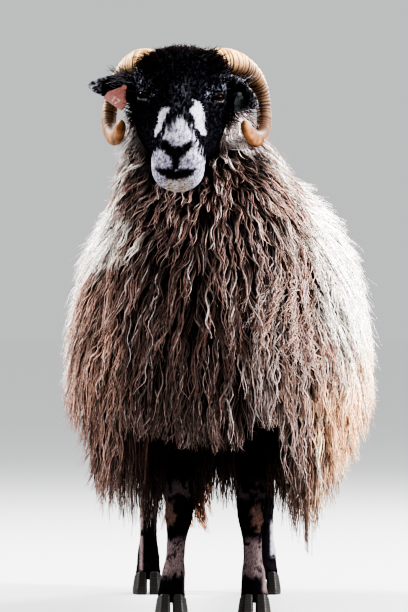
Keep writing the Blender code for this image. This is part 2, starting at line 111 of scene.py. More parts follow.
def polygon_depth(points: np.ndarray, outline: tuple) -> np.ndarray:
    """Signed distance of flat points to a closed outline, positive inside it."""
    corners = np.array(outline)
    nearest = np.full(len(points), np.inf)
    inside = np.zeros(len(points), bool)
    for a, b in zip(corners, np.roll(corners, -1, axis=0)):
        edge = b - a
        nearest = np.minimum(nearest, run_distance(points, a, b))
        crosses = (a[1] > points[:, 1]) != (b[1] > points[:, 1])
        slope = edge[0] / edge[1] if edge[1] else 0.0
        inside ^= crosses & (points[:, 0] < a[0] + (points[:, 1] - a[1]) * slope)
    return np.where(inside, nearest, -nearest)


def path_distance(points: np.ndarray, path: tuple) -> np.ndarray:
    """Distance of each point to a chain of straight runs."""
    nearest = np.full(len(points), np.inf)
    nodes = np.array(path)
    for a, b in zip(nodes, nodes[1:]):
        nearest = np.minimum(nearest, run_distance(points, a, b))
    return nearest


# ---------------------------------------------------------------- meshes


def read_rows(items: bpy.types.bpy_prop_collection, key: str) -> np.ndarray:
    """Three numbers of each item, one row each."""
    flat = np.zeros(len(items) * 3)
    items.foreach_get(key, flat)
    return flat.reshape(-1, 3)


def coordinates(mesh: bpy.types.Mesh) -> np.ndarray:
    """The vertex positions of a mesh."""
    return read_rows(mesh.vertices, "co")


def set_coordinates(mesh: bpy.types.Mesh, points: np.ndarray) -> None:
    """Write vertex positions back to a mesh."""
    mesh.vertices.foreach_set("co", np.asarray(points, float).ravel())
    mesh.update()


def normals(mesh: bpy.types.Mesh) -> np.ndarray:
    """The smooth vertex normals of a mesh."""
    return read_rows(mesh.vertex_normals, "vector")


def triangles(mesh: bpy.types.Mesh) -> np.ndarray:
    """The corners of a mesh's triangles, one row each."""
    mesh.calc_loop_triangles()
    flat = np.zeros(len(mesh.loop_triangles) * 3, np.int32)
    mesh.loop_triangles.foreach_get("vertices", flat)
    return flat.reshape(-1, 3)


def add_attribute(mesh: bpy.types.Mesh, name: str, values: np.ndarray) -> None:
    """Store numbers, vectors or colours on the vertices of a mesh."""
    values = np.asarray(values, np.float32)
    kind, key = ATTRIBUTE_KINDS[1 if values.ndim == 1 else values.shape[1]]
    mesh.attributes.new(name, kind, "POINT").data.foreach_set(key, values.ravel())


def add_tone(mesh: bpy.types.Mesh, colours: np.ndarray) -> None:
    """Store opaque colours on the vertices of a mesh."""
    colours = colours.reshape(-1, 3)
    add_attribute(mesh, "tone", np.concatenate((colours, np.ones((len(colours), 1))), axis=1))


def add_object(name: str, mesh: bpy.types.Mesh) -> bpy.types.Object:
    """Link a mesh to the scene as an object at the origin."""
    made = bpy.data.objects.new(name, mesh)
    bpy.context.scene.collection.objects.link(made)
    return made


def evaluated_mesh(thing: bpy.types.Object) -> bpy.types.Mesh:
    """A plain mesh of an object with its modifiers applied."""
    bpy.context.view_layer.update()
    return bpy.data.meshes.new_from_object(thing.evaluated_get(bpy.context.evaluated_depsgraph_get()))


def apply_modifiers(thing: bpy.types.Object) -> None:
    """Replace an object's mesh by its evaluated one and drop the modifiers."""
    mesh = evaluated_mesh(thing)
    thing.modifiers.clear()
    thing.data = mesh


def bm_object(name: str, bm: bmesh.types.BMesh) -> bpy.types.Object:
    """Turn an edited mesh into a smooth-shaded object."""
    mesh = bpy.data.meshes.new(name)
    bm.to_mesh(mesh)
    bm.free()
    mesh.shade_smooth()
    return add_object(name, mesh)


def joined_nodes(name: str, nodes: tuple, grow: float) -> bpy.types.Object:
    """Copy frame nodes into one object, each with its doubled vertices merged and its surface moved.

    Args:
        name: the new object's name.
        nodes: names of the frame's nodes.
        grow: how far each surface moves outwards, in metres; a negative one draws it in.

    Returns:
        The new object; the nodes themselves are untouched.
    """
    whole = bmesh.new()
    for node in nodes:
        bm = bmesh.new()
        bm.from_mesh(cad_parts[node].data)
        bmesh.ops.remove_doubles(bm, verts=bm.verts, dist=1e-5)
        bm.normal_update()
        moves = [(vert, vert.co + vert.normal * grow) for vert in bm.verts]
        for vert, place in moves:
            vert.co = place
        part = bpy.data.meshes.new("part")
        bm.to_mesh(part)
        bm.free()
        whole.from_mesh(part)
        bpy.data.meshes.remove(part)
    return bm_object(name, whole)


def remesh(thing: bpy.types.Object, voxel: float) -> None:
    """Rebuild an object as one closed even mesh."""
    modifier = thing.modifiers.new("even", "REMESH")
    modifier.mode = "VOXEL"
    modifier.voxel_size = voxel
    modifier.use_smooth_shade = True
    apply_modifiers(thing)


def relax(mesh: bpy.types.Mesh, weights: np.ndarray, rounds: int) -> None:
    """Smooth a mesh by moving each vertex half way to its neighbours' middle.

    Args:
        mesh: the mesh to smooth.
        weights: 0 to 1 for each vertex, how much of the move it makes.
        rounds: how often the smoothing runs.
    """
    flat = np.zeros(len(mesh.edges) * 2, np.int32)
    mesh.edges.foreach_get("vertices", flat)
    a, b = flat.reshape(-1, 2).T
    count = np.bincount(np.concatenate((a, b)), minlength=len(mesh.vertices))
    points = coordinates(mesh)
    scale = (0.5 * weights / np.maximum(count, 1))[:, None]
    for _ in range(rounds):
        total = np.zeros_like(points)
        for axis in range(3):
            total[:, axis] = np.bincount(a, points[b, axis], len(points))
            total[:, axis] += np.bincount(b, points[a, axis], len(points))
        points = points + scale * (total - points * count[:, None])
    set_coordinates(mesh, points)


def boolean(thing: bpy.types.Object, other: bpy.types.Object, operation: str) -> None:
    """Join or cut one object with another and remove the tool."""
    modifier = thing.modifiers.new(operation.lower(), "BOOLEAN")
    modifier.operation = operation
    modifier.solver = "MANIFOLD"
    modifier.object = other
    apply_modifiers(thing)
    bpy.data.objects.remove(other, do_unlink=True)


class Form:
    """A surface that can be asked for its nearest point and scattered with roots."""

    def __init__(self, mesh: bpy.types.Mesh) -> None:
        """Take a copy of the mesh's shape."""
        self.points = coordinates(mesh)
        self.corners = triangles(mesh)
        self.tree = BVHTree.FromPolygons(self.points.tolist(), self.corners.tolist())
        self.normals = normals(mesh)

    def nearest(self, places: np.ndarray) -> tuple[np.ndarray, np.ndarray]:
        """The nearest surface points to some places, and the smooth normals there."""
        found = [self.tree.find_nearest(place) for place in places.tolist()]
        at = np.array([hit[0] for hit in found])
        rows = self.corners[[hit[2] for hit in found]]
        away = np.linalg.norm(self.points[rows] - at[:, None], axis=2) + 1e-5
        weight = 1 / away**2
        return at, unit((self.normals[rows] * weight[..., None]).sum(axis=1))

    def scatter(self, count: int, rng: np.random.Generator) -> np.ndarray:
        """Random points spread evenly over the surface's area."""
        a, b, c = (self.points[self.corners[:, k]] for k in range(3))
        area = np.linalg.norm(np.cross(b - a, c - a), axis=1)
        rows = rng.choice(len(area), count, p=area / area.sum())
        u, v = rng.random((2, count, 1))
        over = u + v > 1
        u, v = np.where(over, 1 - u, u), np.where(over, 1 - v, v)
        return a[rows] + (b[rows] - a[rows]) * u + (c[rows] - a[rows]) * v


def thinned(points: np.ndarray, spacing: np.ndarray) -> np.ndarray:
    """Keep points in order while each stays its own spacing away from those kept before.

    Args:
        points: candidate places.
        spacing: the least distance wanted at each of them.

    Returns:
        The indices of the points kept.
    """
    cell = float(spacing.max())
    grid: dict[tuple, list] = {}
    kept = []
    for i, (place, gap) in enumerate(zip(points.tolist(), spacing.tolist())):
        key = tuple(int(math.floor(value / cell)) for value in place)
        close = (other for dx, dy, dz in AROUND
                 for other in grid.get((key[0] + dx, key[1] + dy, key[2] + dz), ()))
        if all(math.dist(place, other) >= gap for other in close):
            kept.append(i)
            grid.setdefault(key, []).append(place)
    return np.array(kept)


# ---------------------------------------------------------------- shader expressions


def add_node(tree: bpy.types.NodeTree, kind: str, settings: dict | None = None,
             sockets: dict | None = None) -> bpy.types.Node:
    """Add a node to a shader or geometry tree.

    Args:
        tree: the node tree.
        kind: the node's type.
        settings: properties set first, such as an operation.
        sockets: values, or output sockets to link, by input name or index.

    Returns:
        The node.
    """
    node = tree.nodes.new(kind)
    for key, value in (settings or {}).items():
        setattr(node, key, value)
    for key, value in (sockets or {}).items():
        source = value.socket if isinstance(value, Value) else value
        if isinstance(source, bpy.types.NodeSocket):
            tree.links.new(source, node.inputs[key])
        else:
            node.inputs[key].default_value = source
    return node


class Value:
    """A shader socket that Python expressions can be written with."""

    def __init__(self, tree: bpy.types.NodeTree, socket: bpy.types.NodeSocket) -> None:
        """Wrap an output socket of a node tree."""
        self.tree = tree
        self.socket = socket

    def math(self, operation: str, *operands: "Value | float") -> "Value":
        """Add a Math node on the operands."""
        node = add_node(self.tree, "ShaderNodeMath", {"operation": operation}, dict(enumerate(operands)))
        return Value(self.tree, node.outputs[0])

    def __add__(self, other: "Value | float") -> "Value":
        """Sum."""
        return self.math("ADD", self, other)

    __radd__ = __add__

    def __sub__(self, other: "Value | float") -> "Value":
        """Difference."""
        return self.math("SUBTRACT", self, other)

    def __mul__(self, other: "Value | float") -> "Value":
        """Product."""
        return self.math("MULTIPLY", self, other)

    def __truediv__(self, other: "Value | float") -> "Value":
        """Quotient."""
        return self.math("DIVIDE", self, other)

    def __pow__(self, other: "Value | float") -> "Value":
        """Power."""
        return self.math("POWER", self, other)

    def step(self, low: float, high: float) -> "Value":
        """Rise smoothly from 0 at `low` to 1 at `high`."""
        sockets = {"Value": self, "From Min": low, "From Max": high}
        node = add_node(self.tree, "ShaderNodeMapRange", {"interpolation_type": "SMOOTHSTEP"}, sockets)
        return Value(self.tree, node.outputs["Result"])


class Finish:
    """A material under construction, with one method for every node it needs."""

    def __init__(self, name: str, constants: dict) -> None:
        """Start a Principled material; constants are fixed values by socket name."""
        self.material = bpy.data.materials.new(name)
        self.material.use_nodes = True
        self.tree = self.material.node_tree
        self.shader = self.tree.nodes["Principled BSDF"]
        for socket, value in constants.items():
            self.shader.inputs[socket].default_value = value

    def node(self, kind: str, settings: dict | None = None, sockets: dict | None = None,
             output: str | int = 0) -> Value:
        """Add any node.

        Args:
            kind: the node's type.
            settings: properties set first, such as an operation.
            sockets: values or links by socket name or index.
            output: which output to return.

        Returns:
            The wrapped output socket.
        """
        return Value(self.tree, add_node(self.tree, kind, settings, sockets).outputs[output])

    def attribute(self, name: str, output: str = "Fac") -> Value:
        """A value stored on the mesh."""
        return self.node("ShaderNodeAttribute", {"attribute_name": name}, output=output)

    def place(self, stretch: tuple = (1.0, 1.0, 1.0)) -> Value:
        """Object coordinates, stretched."""
        at = self.node("ShaderNodeTexCoord", output="Object")
        return self.node("ShaderNodeMapping", {}, {"Vector": at, "Scale": stretch})

    def noise(self, at: Value, scale: float, detail: float = 2.0) -> Value:
        """Fractal noise, about 0.5 on average."""
        return self.node("ShaderNodeTexNoise", {}, {"Vector": at, "Scale": scale, "Detail": detail})

    def mix(self, factor: "Value | float", one: "Value | tuple", other: "Value | tuple",
            blend_type: str = "MIX") -> Value:
        """Mix two colours."""
        sockets = {0: factor}
        for slot, colour in ((6, one), (7, other)):
            sockets[slot] = colour if isinstance(colour, Value) else (*colour, 1.0)
        settings = {"data_type": "RGBA", "blend_type": blend_type}
        return self.node("ShaderNodeMix", settings, sockets, output=2)

    def bump(self, height: Value, distance: float, strength: float = 1.0) -> Value:
        """A bumped normal."""
        sockets = {"Height": height, "Distance": distance, "Strength": strength}
        return self.node("ShaderNodeBump", {}, sockets, output="Normal")

    def feed(self, socket: str, value: Value) -> None:
        """Link a value to the shader."""
        self.tree.links.new(value.socket, self.shader.inputs[socket])


# ---------------------------------------------------------------- her anatomy


@dataclass
class HeadFrame:
    """Where the head is and how it is turned, worked out from the two eyeballs.

    In both frames x runs to her left. In the face's frame y runs behind the face and z up along it
    from the eye line; in the upright frame z is nearly vertical.
    """

    tilt: float = 40.0  # degrees between the face and the vertical
    eye_out: float = 0.0575
    eye_deep: float = 0.0225
    eye_up: float = -0.0150
    origin: np.ndarray = field(init=False)
    upright: np.ndarray = field(init=False)  # columns are the frame's axes
    face: np.ndarray = field(init=False)

    def __post_init__(self) -> None:
        """Find the axes and the origin."""
        left, right = (sum(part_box(f"eye_{side}"), Vector()) / 2 for side in SIDES)
        across = (left - right).normalized()
        yaw = Matrix.Rotation(math.atan2(across.y, across.x), 3, "Z")
        roll = Matrix.Rotation(math.asin(-across.z), 3, "Y")
        pitch = Matrix.Rotation(math.radians(-self.tilt), 3, "X")
        self.upright = np.array(yaw @ roll)
        self.face = np.array(yaw @ roll @ pitch)
        middle = np.array((left + right) / 2)
        self.origin = middle - self.face @ np.array((0.0, self.eye_deep, self.eye_up))

    def to_face(self, points: np.ndarray) -> np.ndarray:
        """World points in the face's frame."""
        return (points - self.origin) @ self.face

    def to_upright(self, points: np.ndarray) -> np.ndarray:
        """World points in the upright frame."""
        return (points - self.origin) @ self.upright

    def from_face(self, points: np.ndarray) -> np.ndarray:
        """Face points in the world."""
        return np.asarray(points) @ self.face.T + self.origin

    def from_upright(self, points: np.ndarray) -> np.ndarray:
        """Upright points in the world."""
        return np.asarray(points) @ self.upright.T + self.origin

    def eye(self, side: int) -> np.ndarray:
        """The middle of one eyeball in the world."""
        return self.from_face((side * self.eye_out, self.eye_deep, self.eye_up))

    def gaze(self, side: int) -> np.ndarray:
        """Axes of one eye as columns: along the slit, up across the lids, and out of the head."""
        out = self.upright @ unit(np.array((side * 0.66, -0.74, 0.10)))
        along = self.upright @ np.array((side * 0.74, 0.66, 0.14))
        along = unit(along - out * (along @ out))
        up = np.cross(out, along) * side
        return np.stack((along, up, out), axis=1)


NOSE = (
    (-0.0315, -0.1064), (-0.0271, -0.0985), (-0.0181, -0.1018), (-0.0114, -0.1087), (-0.0047, -0.1109),
    (0.0043, -0.1087), (0.0132, -0.1018), (0.0201, -0.0992), (0.0244, -0.1030), (0.0234, -0.1109),
    (0.0156, -0.1198), (0.0043, -0.1300), (0.0013, -0.1400), (0.0028, -0.1500), (-0.0122, -0.1500),
    (-0.0092, -0.1400), (-0.0114, -0.1333), (-0.0203, -0.1221), (-0.0288, -0.1154),
)
LIPS = (
    (-0.0372, -0.1460), (-0.0272, -0.1475), (-0.0162, -0.1465), (-0.0072, -0.1480), (-0.0022, -0.1500),
    (0.0028, -0.1482), (0.0118, -0.1464), (0.0228, -0.1465), (0.0323, -0.1440), (0.0278, -0.1515),
    (0.0198, -0.1588), (0.0088, -0.1635), (-0.0022, -0.1650), (-0.0132, -0.1645), (-0.0242, -0.1598),
    (-0.0322, -0.1530),
)
BLAZES = {
    "right": (
        (-0.0180, -0.0545), (-0.0305, -0.0560), (-0.0370, -0.0670), (-0.0395, -0.0840),
        (-0.0430, -0.0980), (-0.0440, -0.1065), (-0.0340, -0.1040), (-0.0265, -0.0950),
        (-0.0220, -0.0790), (-0.0165, -0.0660),
    ),
    "left": (
        (0.0210, -0.0400), (0.0325, -0.0385), (0.0410, -0.0520), (0.0420, -0.0740), (0.0455, -0.0900),
        (0.0370, -0.1005), (0.0280, -0.0950), (0.0235, -0.0795), (0.0160, -0.0665), (0.0205, -0.0520),
    ),
}
MOUTH = (
    (0.0440, 0.0640, -0.1180), (0.0420, 0.0580, -0.1360), (0.0345, 0.0500, -0.1530),
    (0.0180, 0.0450, -0.1640), (0.0000, 0.0430, -0.1675),
)
NOSTRIL = ((0.0245, 0.0150, -0.1245), (0.0190, 0.0135, -0.1300), (0.0105, 0.0145, -0.1355))


class Markings:
    """The colour of skin and coat at any place on her, the same for every piece."""

    black = np.array((0.0030, 0.0026, 0.0042))
    white = np.array((0.43, 0.415, 0.47))
    cream = np.array((0.90, 0.85, 0.79))
    brown = np.array((0.098, 0.056, 0.048))
    tan = np.array((0.290, 0.178, 0.142))
    peach = np.array((0.78, 0.47, 0.29))
    rosy = np.array((0.80, 0.69, 0.67))
    dark_brown = np.array((0.018, 0.008, 0.005))
    grey = np.array((0.165, 0.120, 0.122))
    frost = np.array((0.29, 0.30, 0.36))
    lip = np.array((0.0085, 0.0065, 0.0095))
    rust = np.array((0.235, 0.088, 0.032))
    stain = np.array((0.44, 0.31, 0.12))

    def __init__(self, head: HeadFrame) -> None:
        """Keep the head's frame and read off the rims of the ears."""
        self.head = head
        self.rims = {}
        for name, side in SIDES.items():
            ear = head.to_upright(coordinates(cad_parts[f"ear_{name}"].data))
            out = np.abs(ear[:, 0])
            edges = np.linspace(out.min(), out.max(), 11)
            middles, tops, lows = [], [], []
            for low, high in zip(edges, edges[1:]):
                rows = (out >= low - 0.003) & (out <= high + 0.003)
                middles.append((low + high) / 2)
                tops.append(ear[rows, 2].max())
                lows.append(ear[rows, 2].min())
            self.rims[side] = (middles, tops, lows, out.max())

    def face_pale(self, points: np.ndarray) -> np.ndarray:
        """How white the hair of the head is, 0 to 1."""
        near = self.head.to_face(points)
        flat = near[:, (0, 2)]
        rough = (lattice_noise(points, 0.0035, 1) - 0.5) * 0.006
        streaks = lattice_noise(near * (1.0, 1.0, 0.16), 0.0024, 12) - 0.5
        edge = -0.0930 - 34 * near[:, 0] ** 2 - 1.0 * np.maximum(0, near[:, 1] - 0.014)
        edge = np.maximum(edge, -0.136)
        pale = smooth_step(-0.011, 0.006, edge - near[:, 2] + 0.028 * streaks + rough)
        for outline in BLAZES.values():
            depth = polygon_depth(flat, outline) + 0.0065 * streaks + 0.75 * rough
            pale = np.maximum(pale, smooth_step(-0.0002, 0.0044, depth) * (near[:, 1] < 0.06))
        return pale

    def mouth_and_nose(self, points: np.ndarray) -> np.ndarray:
        """How much a place belongs to the dark bare skin of the nose and lips, 0 to 1."""
        upright = self.head.to_upright(points)
        rough = 0.0055 * (lattice_noise(points, 0.0026, 13) - 0.5)
        dark = np.zeros(len(points))
        for outline in (NOSE, LIPS):
            depth = polygon_depth(upright[:, (0, 2)], outline) + rough
            dark = np.maximum(dark, smooth_step(-0.0036, 0.0024, depth))
        return dark * (upright[:, 1] < 0.0)

    def head_hair(self, points: np.ndarray) -> np.ndarray:
        """Colours of the short hair on the head and ears."""
        near = self.head.to_face(points)
        upright = self.head.to_upright(points)
        across = np.abs(near[:, 0])
        flecks = lattice_noise(near * (1.0, 1.0, 0.3), 0.0028, 2)
        colour = np.broadcast_to(self.black, points.shape)
        hairs = smooth_step(0.024, 0.004, across) * smooth_step(0.010, -0.020, near[:, 2])
        hairs = hairs * smooth_step(0.52, 0.80, lattice_noise(near * (1.0, 1.0, 0.3), 0.0018, 2))
        colour = blend(colour, self.frost, 0.20 * hairs)
        fine = smooth_step(0.52, 0.80, lattice_noise(near * (1.0, 1.0, 0.40), 0.0014, 18))
        colour = blend(colour, self.frost, 0.06 * fine)
        for side in SIDES.values():
            along, up, out = ((points - self.head.eye(side)) @ self.head.gaze(side)).T
            around = (np.sqrt(along**2 + up**2 + out**2) < LID_REACH) & (out > 0.004)
            # painted highlights: a pale crescent along the lower lid and a fainter arc along the upper one
            # stand for glints on the wet rims of the eye, stronger on her right
            lower_glint = around * (np.abs(along) < 0.0115)
            lower_glint = lower_glint * smooth_step(-0.0088, -0.0074, up) * smooth_step(-0.0032, -0.0045, up)
            upper_glint = around * (np.abs(along) < 0.0085)
            upper_glint = upper_glint * smooth_step(0.0060, 0.0068, up) * smooth_step(0.0092, 0.0080, up)
            glint_share = 0.20 if side > 0 else 0.34
            colour = blend(colour, self.white * (0.80, 0.66, 0.60), glint_share * lower_glint + 0.4 * glint_share * upper_glint)
            for x, y, z, reach, share in (
                (0.056, 0.008, -0.016, 0.026, 0.22),  # round the eye
                (0.046, 0.002, -0.024, 0.009, 0.95),  # its inner corner
                (0.054, 0.006, -0.036, 0.010, 0.55),  # under the lower lid
                (0.072, 0.034, 0.030, 0.030, 0.95),  # the side of the brow
                (0.066, 0.020, 0.012, 0.016, 0.60),
            ):
                away = np.linalg.norm(near - (side * x, y, z), axis=1)
                colour = blend(colour, self.frost, share * fine * smooth_step(reach, 0.4 * reach, away))
        blaze = 1 - 0.14 * smooth_step(-0.105, -0.085, near[:, 2]) * smooth_step(0.014, 0.022, across)
        colour = blend(colour, self.white * blaze[:, None], self.face_pale(points))
        chin = smooth_step(-0.152, -0.166, upright[:, 2]) * smooth_step(0.030, 0.010, across)
        colour = blend(colour, self.stain, 0.65 * chin * smooth_step(0.25, 0.55, flecks))
        # dark strokes over the white of the muzzle: hair strokes, plus painted shade where they thicken
        # towards the lips
        muzzle = np.maximum(0.40, smooth_step(-0.085, -0.110, near[:, 2]))
        shade = lattice_noise(near * (1.0, 1.0, 0.3), 0.0020, 14)
        lower = smooth_step(-0.120, -0.140, near[:, 2])
        strokes = muzzle * smooth_step(0.45 - 0.20 * lower, 0.78, shade)
        colour = blend(colour, colour * (0.30, 0.29, 0.38), strokes)
        colour = blend(colour, self.lip, self.mouth_and_nose(points))
        high = smooth_step(0.055, 0.085, near[:, 2]) * smooth_step(0.35, 0.65, flecks)
        colour = blend(colour, self.dark_brown * (0.9, 1.1, 1.5), 0.5 * high)
        for side, (middles, tops, lows, reach) in self.rims.items():
            out = upright[:, 0] * side
            ear = smooth_step(0.084, 0.092, out) * (near[:, 2] > -0.06)
            top = smooth_step(0.0075, 0.0025, np.interp(out, middles, tops) - upright[:, 2])
            low = smooth_step(0.0060, 0.0015, upright[:, 2] - np.interp(out, middles, lows))
            tip = smooth_step(reach - 0.026, reach - 0.008, out)
            on_top, below, at_tip = (0.60, 0.60, 1.0) if side < 0 else (1.0, 0.30, 0.7)
            pale = np.maximum(np.maximum(on_top * top, below * low), at_tip * tip)
            pale = pale * smooth_step(0.38, 0.72, lattice_noise(points, 0.0026, 15))
            colour = blend(colour, self.white * 1.1, 0.85 * pale * ear)
        return colour

    def leg_hair(self, points: np.ndarray) -> np.ndarray:
        """Colours of the short hair on the legs: black joints and mottled grey shanks."""
        x, y, z = points.T
        mottle = lattice_noise(points, 0.007, 3) + 0.5 * (lattice_noise(points, 0.0028, 4) - 0.5)
        fore = y < 0.1
        shank = smooth_step(0.060, 0.080, z) * smooth_step(0.145, 0.125, z)
        above = smooth_step(0.195, 0.212, z) * smooth_step(0.245, 0.225, z)
        pale = np.where(fore, np.maximum(0.85 * shank, 0.32 * above), 0.05)
        patchy = smooth_step(0.62, 0.40, mottle - 0.25 * pale) * pale
        inner = smooth_step(0.012, 0.020, x - np.where(x > 0, 0.0585, -0.0765)) * fore
        strip = inner * smooth_step(0.035, 0.050, z) * smooth_step(0.15, 0.12, z)
        patchy = np.maximum(patchy, 0.9 * strip)
        hind_out = np.abs(x + 0.0065)
        outer = smooth_step(0.131, 0.134, hind_out) * smooth_step(0.1405, 0.1375, hind_out)
        outer = outer * ~fore * smooth_step(0.21, 0.19, z)
        patchy = np.maximum(patchy, 0.9 * outer * smooth_step(0.30, 0.45, lattice_noise(points, 0.016, 5)))
        hind = smooth_step(0.094, 0.098, x) * (y > 0.1)
        hind = hind * smooth_step(0.062, 0.078, z) * smooth_step(0.140, 0.120, z)
        colour = blend(self.black * 1.5, self.grey * np.where(x > 0, 0.90, 1.10)[:, None], patchy)
        colour = blend(colour, self.white * 0.7, 0.8 * hind * smooth_step(0.25, 0.45, mottle))
        for middle in ((0.0640, 0.174), (-0.0860, 0.180)):
            away = np.hypot((x - middle[0]) / 0.011, (z - middle[1]) / 0.024)
            tan = smooth_step(1.15, 0.6, away + 0.9 * (mottle - 0.5)) * fore
            colour = blend(colour, self.tan * 0.42, 0.8 * tan)
        return colour

    def ropy(self, points: np.ndarray) -> np.ndarray:
        """Share of pale strands among the brown: most on the left of the chest and shoulder."""
        x, y, z = points.T
        chest = smooth_step(1.3, 0.6, np.hypot((x - 0.110) / 0.065, (z - 0.48) / 0.22))
        return (0.07 + 0.34 * chest) * (y < -0.12) * smooth_step(0.20, 0.30, z)

    def fleece(self, points: np.ndarray) -> np.ndarray:
        """Colours of the long wool: a brown mane, chest and front, cream sides and back, rust tail, with
        painted shade low down and round her right side and painted light high up.
        """
        x, y, z = points.T
        wander = (lattice_noise(points, 0.09, 7) - 0.5) * 0.06
        wander = wander + (lattice_noise(points, 0.028, 27) - 0.5) * 0.055
        # the brown front is partly the wool's own dirty brown and partly painted shade: it runs further round
        # her shaded right side than her sunlit left
        front = smooth_step(0.05, -0.19, y + 1.6 * wander + 0.25 * (z - 0.45))
        limit = 0.164 - 0.014 * smooth_step(0.45, 0.55, z) - 0.030 * smooth_step(0.55, 0.66, z)
        limit = limit - 0.040 * smooth_step(0.68, 0.80, z) + wander
        front = front * (1 - smooth_step(0.0, 0.055, x - limit))
        shoulder = smooth_step(-0.160, -0.200, x + wander) * smooth_step(0.580, 0.635, z + wander)
        front = front * (1 - shoulder)
        # painted shade: the lower flanks turn brown, much more on her shaded right
        low = smooth_step(0.36, 0.20, z + wander) * smooth_step(0.30, 0.05, y)
        low = low * np.where(x > 0, 0.25, 0.8)
        tan = np.maximum(smooth_step(0.13, 0.22, -x), smooth_step(0.04, 0.13, x)) * smooth_step(0.20, 0.40, z)
        brown = blend(self.brown, self.tan, 0.85 * smooth_step(0.1, 0.9, tan + 6 * wander))
        # painted shade: the brown is darker low in the middle of the chest, above and between the forelegs
        brown = brown * (1 - 0.45 * smooth_step(0.48, 0.32, z) * smooth_step(0.17, 0.10, np.abs(x)))[:, None]
        peach = smooth_step(0.52, 0.33, z + wander) * smooth_step(0.10, 0.15, x) * smooth_step(0.10, -0.05, y)
        colour = blend(blend(self.cream, self.peach, 0.95 * peach), brown, np.maximum(front, low))
        # painted shade: near-black brown under her body between the legs
        under = smooth_step(0.31, 0.22, z + 0.3 * wander) * smooth_step(0.17, 0.09, np.abs(x))
        colour = blend(colour, self.dark_brown, 0.8 * under * (y < 0.25))
        near = self.head.to_face(points)
        collar = smooth_step(0.175, 0.120, np.linalg.norm(near - (0.0, 0.070, -0.010), axis=1))
        collar = collar * smooth_step(0.030, 0.055, np.abs(near[:, 0])) * (near[:, 2] < 0.03)
        collar = collar * smooth_step(-0.155, -0.112, self.head.to_upright(points)[:, 2] + wander)
        patch = smooth_step(0.10, 0.30, lattice_noise(points, 0.014, 16))
        # painted light and shade on one pink wool: the collar is brighter on her sunlit left and darker on
        # her shaded right
        soft = self.rosy * np.where(near[:, 0] > 0, 1.20, 0.70)[:, None]
        colour = blend(colour, soft, np.where(near[:, 0] > 0, 1.0, 0.85) * collar * patch)
        # painted light: darker wool high on the neck and back is lightened
        high = smooth_step(0.60, 0.80, z)[:, None]
        colour = colour * (1 + 0.22 * high * (colour[:, :1] < 0.4))
        tail = smooth_step(0.470, 0.490, y) * smooth_step(0.62, 0.55, z)
        tail = tail * smooth_step(0.085, 0.060, np.abs(x - TAIL_X))
        rust = blend(self.rust, self.rust * 0.85, smooth_step(0.40, 0.20, z + wander))
        rust = blend(self.cream * 0.8, rust, smooth_step(0.50, 0.38, z + wander))
        return blend(colour, rust, tail)


